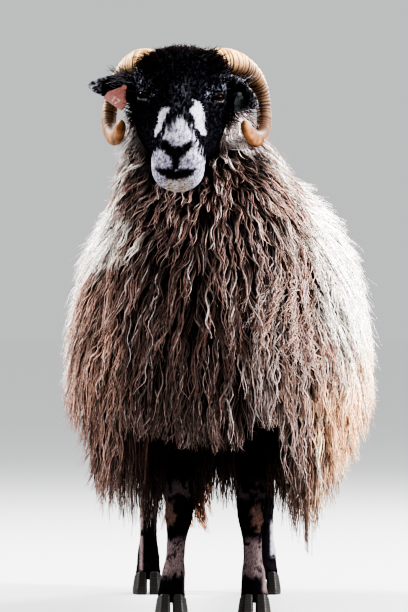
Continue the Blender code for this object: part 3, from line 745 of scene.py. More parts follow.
@dataclass
class Skin:
    """One closed skin over trunk, neck, head, ears, legs and tail, inside the wool by its depth."""

    head: HeadFrame
    body_voxel: float = 0.014
    head_voxel: float = 0.00195
    leg_voxel: float = 0.0034
    wool_depth: float = 0.040
    hair_depth: float = 0.0012
    belly_from: float = 0.46  # the belly proper is drawn up above the hem of the hanging wool
    belly_rise: float = 0.40
    leg_rise: float = 0.160
    lid_thick: float = 0.0020
    slit_half: float = 0.0125
    slit_tall: float = 0.0068
    eye_radius: float = EYE_RADIUS
    outline: Form = field(init=False)
    inner: Form = field(init=False)
    piece: bpy.types.Object = field(init=False)

    def build(self) -> bpy.types.Object:
        """Make the whole skin.

        Returns:
            The finished piece.
        """
        body = self.build_body()
        head = self.build_head()
        legs = self.build_legs()
        boolean(head, body, "UNION")
        boolean(head, legs, "UNION")
        self.piece = head
        head.name = "skin"
        head.data.shade_smooth()
        return head

    def build_body(self) -> bpy.types.Object:
        """The trunk, neck and tail, drawn in by the depth of the wool; keeps their outline too."""
        body = joined_nodes("body", ("trunk", "neck", "tail"), 0.001)
        remesh(body, self.body_voxel)
        relax(body.data, np.ones(len(body.data.vertices)), 2)
        self.outline = Form(body.data)
        points, out = coordinates(body.data), normals(body.data)
        behind = self.head.from_face((0.0, 0.09, 0.0))
        depth = 0.014 + (self.wool_depth - 0.014) * smooth_step(
            0.09, 0.26, np.linalg.norm(points - behind, axis=1)
        )
        tail_depth = 0.013
        depth = depth + (tail_depth - depth) * smooth_step(0.475, 0.505, points[:, 1])
        points = points - out * depth[:, None]
        hung = smooth_step(0.475, 0.450, points[:, 1])
        below = np.maximum(0.0, self.belly_from - points[:, 2])
        points[:, 2] += hung * below * self.belly_rise
        set_coordinates(body.data, points)
        relax(body.data, np.ones(len(points)), 3)
        self.inner = Form(body.data)
        return body

    def build_legs(self) -> bpy.types.Object:
        """The four legs, each run up a little further into the wool."""
        names = tuple(f"leg_{end}_{side}" for end in ("front", "rear") for side in SIDES)
        legs = joined_nodes("legs", names, -self.hair_depth)
        points = coordinates(legs.data)
        points[:, 2] += self.leg_rise * smooth_step(0.192, 0.205, points[:, 2])
        set_coordinates(legs.data, points)
        remesh(legs, self.leg_voxel)
        points = coordinates(legs.data)
        relax(legs.data, smooth_step(0.040, 0.055, points[:, 2]), 12)
        self.shape_legs(legs.data)
        return legs

    def shape_legs(self, mesh: bpy.types.Mesh) -> None:
        """Hollow the tendons and round out the knees and fetlocks."""
        points, out = coordinates(mesh), normals(mesh)
        move = np.zeros(len(points))
        fore = points[:, 1] < 0.1
        band = smooth_step(0.080, 0.100, points[:, 2]) * smooth_step(0.165, 0.140, points[:, 2])
        side_on = 1 - np.abs(out[:, 1])
        move -= 0.0016 * band * side_on
        knee = np.exp(-(((points[:, 2] - 0.186) / 0.018) ** 2)) * (out[:, 1] < -0.5) * fore
        move += 0.0012 * knee
        set_coordinates(mesh, points + out * move[:, None])

    def build_head(self) -> bpy.types.Object:
        """The head with its ears, sculpted, with lids open over the sockets."""
        head = joined_nodes("head_and_ears", ("head", "ear_left", "ear_right"), 0.0005)
        lids = bmesh.new()
        lids.from_mesh(head.data)
        for side in SIDES.values():
            place = Matrix.Translation(self.head.eye(side))
            radius = self.eye_radius + self.lid_thick
            bmesh.ops.create_uvsphere(lids, u_segments=48, v_segments=32, radius=radius, matrix=place)
        lids.to_mesh(head.data)
        lids.free()
        remesh(head, self.head_voxel)
        points = coordinates(head.data)
        near = self.head.to_face(points)
        ear = smooth_step(0.078, 0.090, np.abs(near[:, 0]))
        relax(head.data, 1 - 0.85 * ear, 8)
        muzzle_end = smooth_step(-0.148, -0.160, near[:, 2])
        relax(head.data, muzzle_end, 12)
        self.sculpt(head.data)
        for side in SIDES.values():
            boolean(head, self.eyeball_tool(side), "DIFFERENCE")
            boolean(head, self.slit_tool(side), "DIFFERENCE")
        return head

    def sculpt(self, mesh: bpy.types.Mesh) -> None:
        """Raise brows, cheeks, nostril wings and lips, and press in the creases between them."""
        points, out = coordinates(mesh), normals(mesh)
        near = self.head.to_face(points)
        both = np.abs(near[:, 0])[:, None]
        near = np.concatenate((both, near[:, 1:]), axis=1)
        move = np.zeros(len(near))
        for x, y, z, radius, rise in (
            (0.061, 0.014, 0.006, 0.015, 0.0036),  # brow over the eye
            (0.046, 0.002, -0.004, 0.014, 0.0014),
            (0.062, 0.018, -0.036, 0.010, 0.0016),  # rim under the eye
            (0.044, 0.003, -0.036, 0.010, -0.0024),  # hollow before the eye
            (0.072, 0.040, -0.017, 0.012, 0.0015),
            (0.052, 0.014, 0.052, 0.020, 0.0075),  # thick hair at the foot of the horn
            (0.066, 0.034, 0.040, 0.018, 0.0040),
            (0.040, 0.022, -0.055, 0.020, -0.0030),  # flat between nose and cheek
            (0.000, -0.004, -0.050, 0.028, 0.0018),  # rise of the nasal bridge
            (0.058, 0.085, -0.030, 0.032, 0.0030),  # cheek muscle
            (0.026, 0.019, -0.121, 0.010, 0.0034),  # wing of the nostril
            (0.009, 0.012, -0.124, 0.009, 0.0012),
            (0.022, 0.030, -0.145, 0.011, 0.0032),  # pad of the upper lip
            (0.012, 0.058, -0.168, 0.012, 0.0018),  # lower lip
            (0.000, 0.075, -0.162, 0.016, 0.0024),  # chin
        ):
            away = np.linalg.norm(near - (x, y, z), axis=1)
            move += rise * np.exp(-((away / radius) ** 2))
        nostril = path_distance(near, NOSTRIL)
        move -= 0.0070 * np.exp(-((nostril / 0.0036) ** 2))
        mouth = path_distance(near, MOUTH)
        move -= 0.0040 * np.exp(-((mouth / 0.0026) ** 2))
        groove = path_distance(near, ((0.0, 0.0145, -0.1360), (0.0, 0.030, -0.1560)))
        move -= 0.0026 * np.exp(-((groove / 0.0022) ** 2))
        move += 0.0007 * (lattice_noise(points, 0.012, 17) - 0.5)
        set_coordinates(mesh, points + out * move[:, None])

    def eyeball_tool(self, side: int) -> bpy.types.Object:
        """The hollow that the eyeball turns in."""
        bm = bmesh.new()
        place = Matrix.Translation(self.head.eye(side))
        radius = self.eye_radius + 0.0002
        bmesh.ops.create_uvsphere(bm, u_segments=48, v_segments=32, radius=radius, matrix=place)
        return bm_object("socket", bm)

    def slit_tool(self, side: int) -> bpy.types.Object:
        """An almond bar that opens the lids along the eye's line of sight."""
        axes, centre = self.head.gaze(side), self.head.eye(side)
        bm = bmesh.new()
        rings = []
        for depth, size in ((0.004, 0.92), (0.024, 1.12)):
            ring = []
            for k in range(32):
                angle = 2 * math.pi * k / 32
                along = math.cos(angle) * self.slit_half * size
                up = math.sin(angle) * self.slit_tall * size * (1.0 if math.sin(angle) > 0 else 0.85)
                up *= abs(math.sin(angle)) ** 0.25
                ring.append(bm.verts.new(centre + axes @ np.array((along, up, depth))))
            rings.append(ring)
        for k in range(32):
            j = (k + 1) % 32
            bm.faces.new((rings[0][k], rings[0][j], rings[1][j], rings[1][k]))
        bm.faces.new(rings[0])
        bm.faces.new(rings[1])
        bmesh.ops.recalc_face_normals(bm, faces=bm.faces)
        return bm_object("slit", bm)

    def dress(self, markings: Markings, head_form: Form) -> None:
        """Store her colours on the skin, darkened as painted shade where it shows between the locks, give it
        its finish and hand it to the frame.

        Args:
            markings: her colours.
            head_form: the solids of head, ears and eyes.
        """
        mesh = self.piece.data
        points = coordinates(mesh)
        colours = markings.fleece(points)
        # painted shade: the skin is darkened to near black where it shows in the gaps between locks, less
        # under pale wool
        colours = colours * (0.12 + 0.60 * smooth_step(0.30, 0.60, colours[:, 1:2]))
        legs = smooth_step(0.300, 0.270, points[:, 2]) * (np.abs(points[:, 0]) < 0.16)
        legs = legs * (points[:, 1] < 0.45)
        colours = blend(colours, markings.leg_hair(points), legs)
        close = np.where(np.linalg.norm(points - self.head.origin, axis=1) < 0.30)[0]
        at, _ = head_form.nearest(points[close])
        on_head = np.zeros(len(points))
        on_head[close] = smooth_step(0.010, 0.006, np.linalg.norm(points[close] - at, axis=1))
        colours = blend(colours, markings.head_hair(points), on_head)
        add_tone(mesh, colours)
        mesh.materials.clear()
        mesh.materials.append(skin_finish())
        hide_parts("trunk", "neck", "head", "ear_left", "ear_right", "tail",
                    "leg_front_left", "leg_front_right", "leg_rear_left", "leg_rear_right")
        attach(self.piece, BODY)


def skin_finish() -> bpy.types.Material:
    """Short hair lying flat: her stored colours with fine strokes of light, dark and relief."""
    finish = Finish("short_hair", {"Roughness": 0.9, "Specular IOR Level": 0.0})
    tone = finish.attribute("tone", "Color")
    strokes = finish.noise(finish.place((1.0, 1.0, 0.30)), 850.0, 3.0)
    patches = finish.noise(finish.place(), 120.0, 2.0)
    light = finish.mix(strokes.step(0.32, 0.72), (0.50, 0.49, 0.49), (1.35, 1.35, 1.37))
    colour = finish.mix(1.0, tone, light, "MULTIPLY")
    finish.feed("Base Color", colour)
    height = strokes + patches * 0.4
    finish.feed("Normal", finish.bump(height, 0.0011, 1.0))
    return finish.material


@dataclass
class Eyes:
    """The two eyeballs: near black, the iris darkened as painted shade from the brow, with a level slot of a
    pupil behind a wet, domed front.
    """

    head: HeadFrame
    radius: float = EYE_RADIUS
    dome: float = 0.0006
    rings: int = 40
    segments: int = 64

    def build(self, side_name: str) -> bpy.types.Object:
        """Make one eyeball.

        Args:
            side_name: left or right.

        Returns:
            The finished piece.
        """
        side = SIDES[side_name]
        axes, centre = self.head.gaze(side), self.head.eye(side)
        bm = bmesh.new()
        bmesh.ops.create_uvsphere(bm, u_segments=self.segments, v_segments=self.rings, radius=1.0)
        eye = bm_object(f"eyeball_{side_name}", bm)
        ball = coordinates(eye.data)
        front = smooth_step(0.78, 1.0, ball[:, 2])
        shape = ball * (self.radius + self.dome * front)[:, None]
        if np.linalg.det(axes) < 0:
            axes = axes * (-1, 1, 1)
        set_coordinates(eye.data, centre + shape @ axes.T)
        add_attribute(eye.data, "iris", ball)
        eye.data.materials.append(eye_finish())
        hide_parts(f"eye_{side_name}")
        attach(eye, BODY)
        return eye


def eye_finish() -> bpy.types.Material:
    """A wet eyeball; the stored direction gives the pupil, iris and the rim round it."""
    finish = Finish("wet_eye", {"Roughness": 0.12, "Specular IOR Level": 0.0, "Coat Weight": 0.25,
                                "Coat IOR": 1.2, "Coat Roughness": 0.04})
    iris = finish.attribute("iris", "Vector")
    parts = add_node(finish.tree, "ShaderNodeSeparateXYZ", {}, {0: iris})
    along, up = (Value(finish.tree, parts.outputs[k]) for k in (0, 1))
    away = (along * along + up * up) ** 0.5
    slot = ((along / 0.36) ** 4.0 + (up / 0.135) ** 4.0).step(1.25, 0.85)
    streaks = finish.noise(finish.place(), 700.0, 3.0)
    # the iris: dark brown, darkened to near black as painted shade from the brow
    iris_in_shade = finish.mix(streaks, (0.005, 0.003, 0.002), (0.018, 0.009, 0.005))
    iris_in_shade = finish.mix(away.step(0.42, 0.68), iris_in_shade, (0.006, 0.004, 0.004))
    colour = finish.mix(slot, iris_in_shade, (0.0015, 0.0015, 0.002))
    colour = finish.mix(away.step(0.68, 0.78), colour, (0.010, 0.007, 0.007))
    finish.feed("Base Color", colour)
    return finish.material


# ---------------------------------------------------------------- horns, hooves and tags


@dataclass
class Horns:
    """Two horns that curl back, down and forward again, ridged across and smooth at the tip."""

    head: HeadFrame
    axis_y: float = 0.078
    axis_z: float = -0.0200
    rings: int = 230
    sides: int = 28
    deep: float = 1.14
    wide: float = 0.92
    drop: dict = field(default_factory=lambda: {1: 0.003, -1: 0.008})
    bases: list = field(default_factory=list)  # places and normals of the haired foot of each horn
    fur: dict = field(default_factory=lambda: {1: 0.090, -1: 0.060})  # share hidden in the hair
    ridge_pitch: float = 0.0066
    ridge_rise: float = 0.0032
    # degrees round the curl, distance out of the left and of the right horn, radius, half thickness
    stations: tuple = (
        (52, 0.0332, 0.0311, 0.0600, 0.0195), (78, 0.0600, 0.0540, 0.0610, 0.0185),
        (102, 0.0870, 0.0760, 0.0620, 0.0172), (130, 0.1135, 0.0965, 0.0635, 0.0155),
        (160, 0.1310, 0.1120, 0.0650, 0.0140), (190, 0.1385, 0.1205, 0.0660, 0.0130),
        (220, 0.1400, 0.1225, 0.0665, 0.0124), (250, 0.1345, 0.1155, 0.0665, 0.0120),
        (278, 0.1235, 0.1065, 0.0655, 0.0116), (303, 0.1125, 0.1010, 0.0640, 0.0104),
        (322, 0.1060, 0.0990, 0.0620, 0.0080),
    )

    def path(self, side: int) -> tuple[np.ndarray, np.ndarray, np.ndarray]:
        """The horn's centre line, its half thickness and its axis point at each ring."""
        rows = np.array(self.stations)
        place = np.linspace(0, len(rows) - 1, self.rings)
        k = np.minimum(place.astype(int), len(rows) - 2)
        t = (place - k)[:, None]
        a, b, c, d = (rows[np.clip(k + step, 0, len(rows) - 1)] for step in (-1, 0, 1, 2))
        curve = 2 * b + (c - a) * t + (2 * a - 5 * b + 4 * c - d) * t**2
        turn, out_left, out_right, radius, half = ((curve + (3 * b - a - 3 * c + d) * t**3) / 2).T
        turn = np.radians(turn)
        x = side * (out_left if side > 0 else out_right)
        y = self.axis_y - radius * np.cos(turn)
        z = self.axis_z - self.drop[side] + radius * np.sin(turn)
        hub = np.stack((x, np.full_like(x, self.axis_y), np.full_like(x, self.axis_z - self.drop[side])), 1)
        return np.stack((x, y, z), axis=1), half, hub

    def build(self, side_name: str) -> bpy.types.Object:
        """Make one horn.

        Args:
            side_name: left or right.

        Returns:
            The finished piece.
        """
        side = SIDES[side_name]
        centre, half, hub = self.path(side)
        ahead = unit(np.gradient(centre, axis=0))
        outward = centre - hub
        deep = unit(outward - ahead * (outward * ahead).sum(1, keepdims=True))
        wide = np.cross(ahead, deep)
        length = np.concatenate(((0,), np.cumsum(np.linalg.norm(np.diff(centre, axis=0), axis=1))))
        share = length / length[-1]
        rng = np.random.default_rng(40 + side)
        jitter = np.interp(length, np.linspace(0, length[-1], 48), rng.normal(0, 1.5, 48))
        phase = 2 * math.pi * length / self.ridge_pitch + jitter
        wave = 0.5 + 0.5 * np.cos(phase)
        strong = np.interp(length, np.linspace(0, length[-1], 70), rng.uniform(0.35, 1.0, 70))
        ridge = 1 - strong * (1 - wave) ** 1.1
        fade = 1 - smooth_step(0.60, 0.82, share)
        fade = fade * smooth_step(self.fur[side] - 0.005, self.fur[side] + 0.020, share)
        tip = np.sqrt(np.clip(1 - ((share - 0.955) / 0.045).clip(0, 1) ** 2, 0.0, 1))
        angle = 2 * math.pi * np.arange(self.sides) / self.sides
        keel = 1 + 0.05 * np.cos(3 * angle + 0.6)
        strength = 0.55 + 0.45 * np.cos(angle)
        lift = (ridge - 0.5)[:, None] * fade[:, None] * self.ridge_rise * (0.35 + strength)[None, :]
        radius = (half[:, None] * keel[None, :] + lift) * np.maximum(tip, 0.05)[:, None]
        reach = deep[:, None, :] * (np.cos(angle) * self.deep)[None, :, None]
        reach = reach + wide[:, None, :] * (np.sin(angle) * self.wide)[None, :, None]
        points = centre[:, None, :] + reach * radius[:, :, None]
        end = centre[-1] + ahead[-1] * 0.0006
        verts = np.concatenate((points.reshape(-1, 3), centre[:1], end[None]))
        mesh = bpy.data.meshes.new(f"horn_{side_name}_ridged")
        mesh.from_pydata(self.head.from_upright(verts).tolist(), [], self.faces())
        horn = add_object(mesh.name, mesh)
        self.turn_outwards(mesh)
        count = self.sides
        grown = np.concatenate((np.repeat(share, count), (0, 1)))
        valley = np.concatenate((np.repeat((1 - ridge) * fade, count), (0, 0)))
        # inner: 1 on the side of the horn that faces into the curl, where the finish paints shade; weaker on
        # her right horn
        inner = np.concatenate((np.tile(0.5 - 0.5 * np.cos(angle), self.rings), (0, 0)))
        inner = inner * (1.0 if side > 0 else 0.72)
        ragged = 0.016 * (lattice_noise(coordinates(mesh), 0.005, 41) - 0.5)
        furred = 1 - smooth_step(self.fur[side] - 0.006, self.fur[side] + 0.006, grown + ragged)
        foot = furred > 0.5
        self.bases.append((coordinates(mesh)[foot], normals(mesh)[foot]))
        add_attribute(mesh, "grown", grown)
        add_attribute(mesh, "furred", furred)
        add_attribute(mesh, "valley", valley)
        add_attribute(mesh, "inner", inner)
        mesh.materials.append(horn_finish())
        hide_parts(f"horn_{side_name}")
        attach(horn, BODY)
        return horn

    def faces(self) -> list:
        """The quads between rings and the fans over both ends."""
        faces = []
        count = self.sides
        for ring in range(self.rings - 1):
            for k in range(count):
                j = (k + 1) % count
                low, high = ring * count, (ring + 1) * count
                faces.append((low + k, low + j, high + j, high + k))
        last = (self.rings - 1) * count
        base_middle, end_middle = self.rings * count, self.rings * count + 1
        for k in range(count):
            j = (k + 1) % count
            faces.append((base_middle, j, k))
            faces.append((end_middle, last + k, last + j))
        return faces

    @staticmethod
    def turn_outwards(mesh: bpy.types.Mesh) -> None:
        """Make all faces point out of a closed mesh."""
        bm = bmesh.new()
        bm.from_mesh(mesh)
        bmesh.ops.recalc_face_normals(bm, faces=bm.faces)
        bm.to_mesh(mesh)
        bm.free()
        mesh.shade_smooth()


def horn_finish() -> bpy.types.Material:
    """Pale pinkish horn with dark lines in the valleys between its growth ridges, painted shade on the side
    facing into the curl, amber and smooth at the tip.
    """
    finish = Finish("ridged_horn", {"Specular IOR Level": 0.22})
    grown = finish.attribute("grown")
    valley = finish.attribute("valley")
    inner = finish.attribute("inner")
    cloud = finish.noise(finish.place(), 70.0, 3.0)
    fine = finish.noise(finish.place(), 600.0, 3.0)
    pale = finish.mix(cloud.step(0.3, 0.7), (0.34, 0.165, 0.066), (0.62, 0.385, 0.165))
    tip = finish.mix(cloud.step(0.3, 0.7), (0.11, 0.045, 0.016), (0.27, 0.122, 0.050))
    colour = finish.mix(grown.step(0.50, 0.74), pale, tip)
    # painted shade: darker on the side that faces into the curl
    colour = finish.mix(inner.step(0.30, 0.80) * 0.85, colour, (0.050, 0.022, 0.013))
    # the dark valleys between the ridges, deepened on the side facing into the curl as painted shade
    valley_dark = (valley.step(0.20, 0.75) * 0.9 + (fine - 0.5) * 0.7 * valley).step(0.05, 0.60)
    shaded = inner.step(0.05, 0.40) * 0.38 + 0.60
    colour = finish.mix(valley_dark * shaded, colour, (0.022, 0.010, 0.007))
    colour = finish.mix(finish.attribute("furred"), colour, (0.0035, 0.0025, 0.003))
    finish.feed("Base Color", colour)
    finish.feed("Roughness", 0.45 + fine * 0.35)
    finish.feed("Normal", finish.bump(fine * 0.6 + cloud, 0.0009, 0.7))
    return finish.material


@dataclass
class Hooves:
    """Eight claws of dark horn with fine growth rings, and two small dewclaws behind each foot."""

    voxel: float = 0.0013
    ring_pitch: float = 0.0046
    ring_rise: float = 0.00030

    def build(self, end: str, side_name: str, which: str) -> bpy.types.Object:
        """Round and ring one claw.

        Args:
            end: front or rear.
            side_name: left or right.
            which: outer or inner.

        Returns:
            The finished piece.
        """
        node = f"hoof_{end}_{side_name}_{which}"
        claw = joined_nodes(f"claw_{end}_{side_name}_{which}", (node,), 0.0)
        remesh(claw, self.voxel)
        mesh = claw.data
        points = coordinates(mesh)
        above = smooth_step(0.0012, 0.0035, points[:, 2])
        relax(mesh, above, 5)
        points, out = coordinates(mesh), normals(mesh)
        tilt = points[:, 2] + 0.12 * (points[:, 1] - points[:, 1].min())
        wave = np.cos(2 * math.pi * tilt / self.ring_pitch + 4.0 * lattice_noise(points, 0.009, 8))
        move = self.ring_rise * wave * above * (1 - np.abs(out[:, 2]))
        points = points + out * move[:, None]
        points[:, 2] = np.maximum(points[:, 2], 0.0)
        set_coordinates(mesh, points)
        add_attribute(mesh, "height", points[:, 2] / points[:, 2].max())
        add_attribute(mesh, "ring", 0.5 - 0.5 * wave)
        mesh.materials.clear()
        mesh.materials.append(hoof_finish())
        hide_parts(node)
        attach(claw, BODY)
        return claw

    def build_dewclaws(self, end: str, side_name: str) -> bpy.types.Object:
        """Two small dark knobs behind the fetlock."""
        hoof_low, hoof_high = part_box(f"hoof_{end}_{side_name}_outer")
        inner_low, inner_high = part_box(f"hoof_{end}_{side_name}_inner")
        middle = (min(hoof_low.x, inner_low.x) + max(hoof_high.x, inner_high.x)) / 2
        back = hoof_high.y - 0.004
        bm = bmesh.new()
        for across in (-0.0125, 0.0125):
            place = Matrix.Translation((middle + across, back + 0.002, 0.0560))
            turn = Matrix.Rotation(math.radians(205), 4, "X")
            stretch = Matrix.Diagonal((0.0062, 0.0048, 0.0095, 1.0))
            bmesh.ops.create_icosphere(bm, subdivisions=3, radius=1.0, matrix=place @ turn @ stretch)
        for vert in bm.verts:
            vert.co.z -= 0.15 * max(0.0, vert.co.y - back)
        dewclaws = bm_object(f"dewclaws_{end}_{side_name}", bm)
        points = coordinates(dewclaws.data)
        add_attribute(dewclaws.data, "height", np.full(len(points), 0.6))
        add_attribute(dewclaws.data, "ring", lattice_noise(points, 0.002, 9))
        dewclaws.data.materials.append(hoof_finish())
        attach(dewclaws, BODY)
        return dewclaws


def hoof_finish() -> bpy.types.Material:
    """Dark worn hoof horn, paler and dusty towards the sole."""
    finish = Finish("hoof_horn", {"Specular IOR Level": 0.25})
    height = finish.attribute("height")
    ring = finish.attribute("ring")
    fine = finish.noise(finish.place((1.0, 1.0, 0.3)), 900.0, 3.0)
    colour = finish.mix(height.step(0.0, 0.45), (0.022, 0.017, 0.014), (0.0075, 0.0065, 0.006))
    colour = finish.mix(ring * fine.step(0.35, 0.8) * 0.5, colour, (0.038, 0.030, 0.024))
    finish.feed("Base Color", colour)
    finish.feed("Roughness", 0.35 + fine * 0.4)
    finish.feed("Normal", finish.bump(fine, 0.0004, 0.6))
    return finish.material


class Plastic(Enum):
    """The two ear tags' colours: body and moulded marks."""

    ORANGE = ((0.30, 0.105, 0.085), (0.56, 0.32, 0.27))
    # dark green, darkened to near black as painted shade of the ear it hangs in
    GREEN = ((0.0006, 0.0065, 0.0050), (0.0004, 0.003, 0.0025))


@dataclass
class Tag:
    """An ear tag: a flap with rounded corners hanging from a stud, with a plain number moulded on."""

    head: HeadFrame
    node: str
    plastic: Plastic
    number: str
    width: float
    height: float
    straight: float  # height of the square lower part
    stud: tuple
    down: tuple
    facing: tuple
    thick: float = 0.0018
    stud_radius: float = 0.0048
    corner: float = 0.0030
    digit_height: float = 0.0150

    def axes(self) -> np.ndarray:
        """Columns: across the flap, into the ear, and up to the stud, in the world."""
        up = -unit(np.array(self.down))
        inward = -np.array(self.facing)
        inward = unit(inward - up * (inward @ up))
        return self.head.upright @ np.stack((np.cross(inward, up), inward, up), axis=1)

    def outline(self) -> list:
        """The flap's outline, clockwise from its lower left corner, corners rounded."""
        half, neck = self.width / 2, self.stud_radius
        corners = [(-half, -self.height), (half, -self.height), (half, self.straight - self.height),
                   (neck, -0.2 * neck), (-neck, -0.2 * neck), (-half, self.straight - self.height)]
        points = []
        for i, here in enumerate(corners):
            before, after = np.array(corners[i - 1]), np.array(corners[(i + 1) % len(corners)])
            here = np.array(here)
            start = here + unit(before - here) * self.corner
            end = here + unit(after - here) * self.corner
            for t in np.linspace(0, 1, 6):
                points.append((1 - t) ** 2 * start + 2 * t * (1 - t) * here + t**2 * end)
        return points

    def build(self) -> list[bpy.types.Object]:
        """Make the flap with its stud, and the digits.

        Returns:
            The two finished pieces.
        """
        bm = bmesh.new()
        face = bm.faces.new([bm.verts.new((x, -self.thick, z)) for x, z in self.outline()])
        made = bmesh.ops.extrude_face_region(bm, geom=[face])
        for vert in [item for item in made["geom"] if isinstance(item, bmesh.types.BMVert)]:
            vert.co.y = 0.0
        bmesh.ops.recalc_face_normals(bm, faces=bm.faces)
        rim = [edge for edge in bm.edges if abs(edge.verts[0].co.y - edge.verts[1].co.y) < 1e-6]
        bmesh.ops.bevel(bm, geom=rim, offset=0.0004, segments=2, affect="EDGES", profile=0.5)
        turn = Matrix.Rotation(math.radians(90), 4, "X")
        for radius, low, high in ((0.0046, -0.0040, -0.0010), (0.0032, -0.0046, -0.0038),
                                  (0.0020, -0.0012, 0.0190), (0.0050, 0.0182, 0.0204)):
            place = Matrix.Translation((0, (low + high) / 2, 0)) @ turn
            bmesh.ops.create_cone(bm, cap_ends=True, segments=32, radius1=radius, radius2=radius,
                                  depth=high - low, matrix=place)
        flap = bm_object(f"{self.node}_flap", bm)
        flap.data.set_sharp_from_angle(angle=math.radians(40))
        digits = self.build_digits()
        axes = self.axes()
        place = self.head.from_upright(self.stud)
        for thing in (flap, digits):
            set_coordinates(thing.data, place + coordinates(thing.data) @ axes.T)
            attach(thing, BODY)
        flap.data.materials.append(plastic_finish(f"{self.node}_plastic", self.plastic.value[0]))
        digits.data.materials.append(plastic_finish(f"{self.node}_marks", self.plastic.value[1]))
        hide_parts(self.node)
        return [flap, digits]

    def build_digits(self) -> bpy.types.Object:
        """The plain number, raised a little from the flap's front."""
        curve = bpy.data.curves.new(f"{self.node}_digits", "FONT")
        curve.body = self.number
        curve.size = self.digit_height
        curve.align_x = "CENTER"
        curve.align_y = "CENTER"
        curve.extrude = 0.00035
        curve.offset = 0.00035
        curve.resolution_u = 3
        text = bpy.data.objects.new("text", curve)
        bpy.context.scene.collection.objects.link(text)
        mesh = evaluated_mesh(text)
        bpy.data.objects.remove(text, do_unlink=True)
        flat = coordinates(mesh)
        middle = self.straight / 2 - self.height + 0.001
        points = np.stack((flat[:, 0], -self.thick - 0.0001 - flat[:, 2], flat[:, 1] + middle), axis=1)
        set_coordinates(mesh, points)
        return add_object(f"{self.node}_digits", mesh)


def plastic_finish(name: str, colour: tuple) -> bpy.types.Material:
    """Weathered moulded plastic with fine scratches and dull patches."""
    finish = Finish(name, {})
    wear = finish.noise(finish.place(), 260.0, 3.0)
    scratches = finish.noise(finish.place((1.0, 1.0, 6.0)), 500.0, 2.0)
    dull = tuple(0.72 * part + 0.02 for part in colour)
    bright = tuple(min(1.0, 1.18 * part + 0.012) for part in colour)
    finish.feed("Base Color", finish.mix(wear.step(0.3, 0.7), dull, bright))
    finish.feed("Roughness", 0.35 + wear * 0.3)
    finish.feed("Normal", finish.bump(scratches, 0.0002, 0.4))
    return finish.material


# ---------------------------------------------------------------- wool and hair


BAKE_PATCH = 0.003  # across each tuft's own patch on the baking map


@dataclass
class Strands:
    """Centre lines of many tufts with what the sweep needs at each point."""

    points: np.ndarray  # strands, rings, 3
    lie: np.ndarray  # surface normals the flat sides face
    half: np.ndarray  # half width at each point
    tone: np.ndarray  # colour at each point
    root: np.ndarray  # place of each root on the unwrapped skin

    def taken(self, rows: np.ndarray) -> "Strands":
        """The strands of some rows."""
        return Strands(*(part[rows] for part in
                         (self.points, self.lie, self.half, self.tone, self.root)))

    def guide_mesh(self, name: str) -> bpy.types.Mesh:
        """All centre lines as one mesh of edges with their values stored on it."""
        count, rings = self.half.shape
        index = np.arange(count * rings).reshape(count, rings)
        edges = np.stack((index[:, :-1], index[:, 1:]), axis=2).reshape(-1, 2)
        mesh = bpy.data.meshes.new(name)
        mesh.vertices.add(count * rings)
        mesh.edges.add(len(edges))
        mesh.edges.foreach_set("vertices", edges.ravel().astype(np.int32))
        set_coordinates(mesh, self.points.reshape(-1, 3))
        along = np.broadcast_to(np.linspace(0, 1, rings), (count, rings))
        root = self.root
        span = np.ptp(root, axis=0)
        root = 0.01 + 0.98 * (root - root.min(0)) / np.maximum(span, 1e-6)
        corner = np.zeros((count, rings, 3))
        corner[:, :, :2] = root[:, None]
        corner[:, :, 1] += (along - 0.5) * BAKE_PATCH
        add_attribute(mesh, "half", self.half.ravel())
        add_attribute(mesh, "lie", self.lie.reshape(-1, 3))
        add_attribute(mesh, "patch", corner.reshape(-1, 3))
        add_tone(mesh, self.tone)
        return mesh


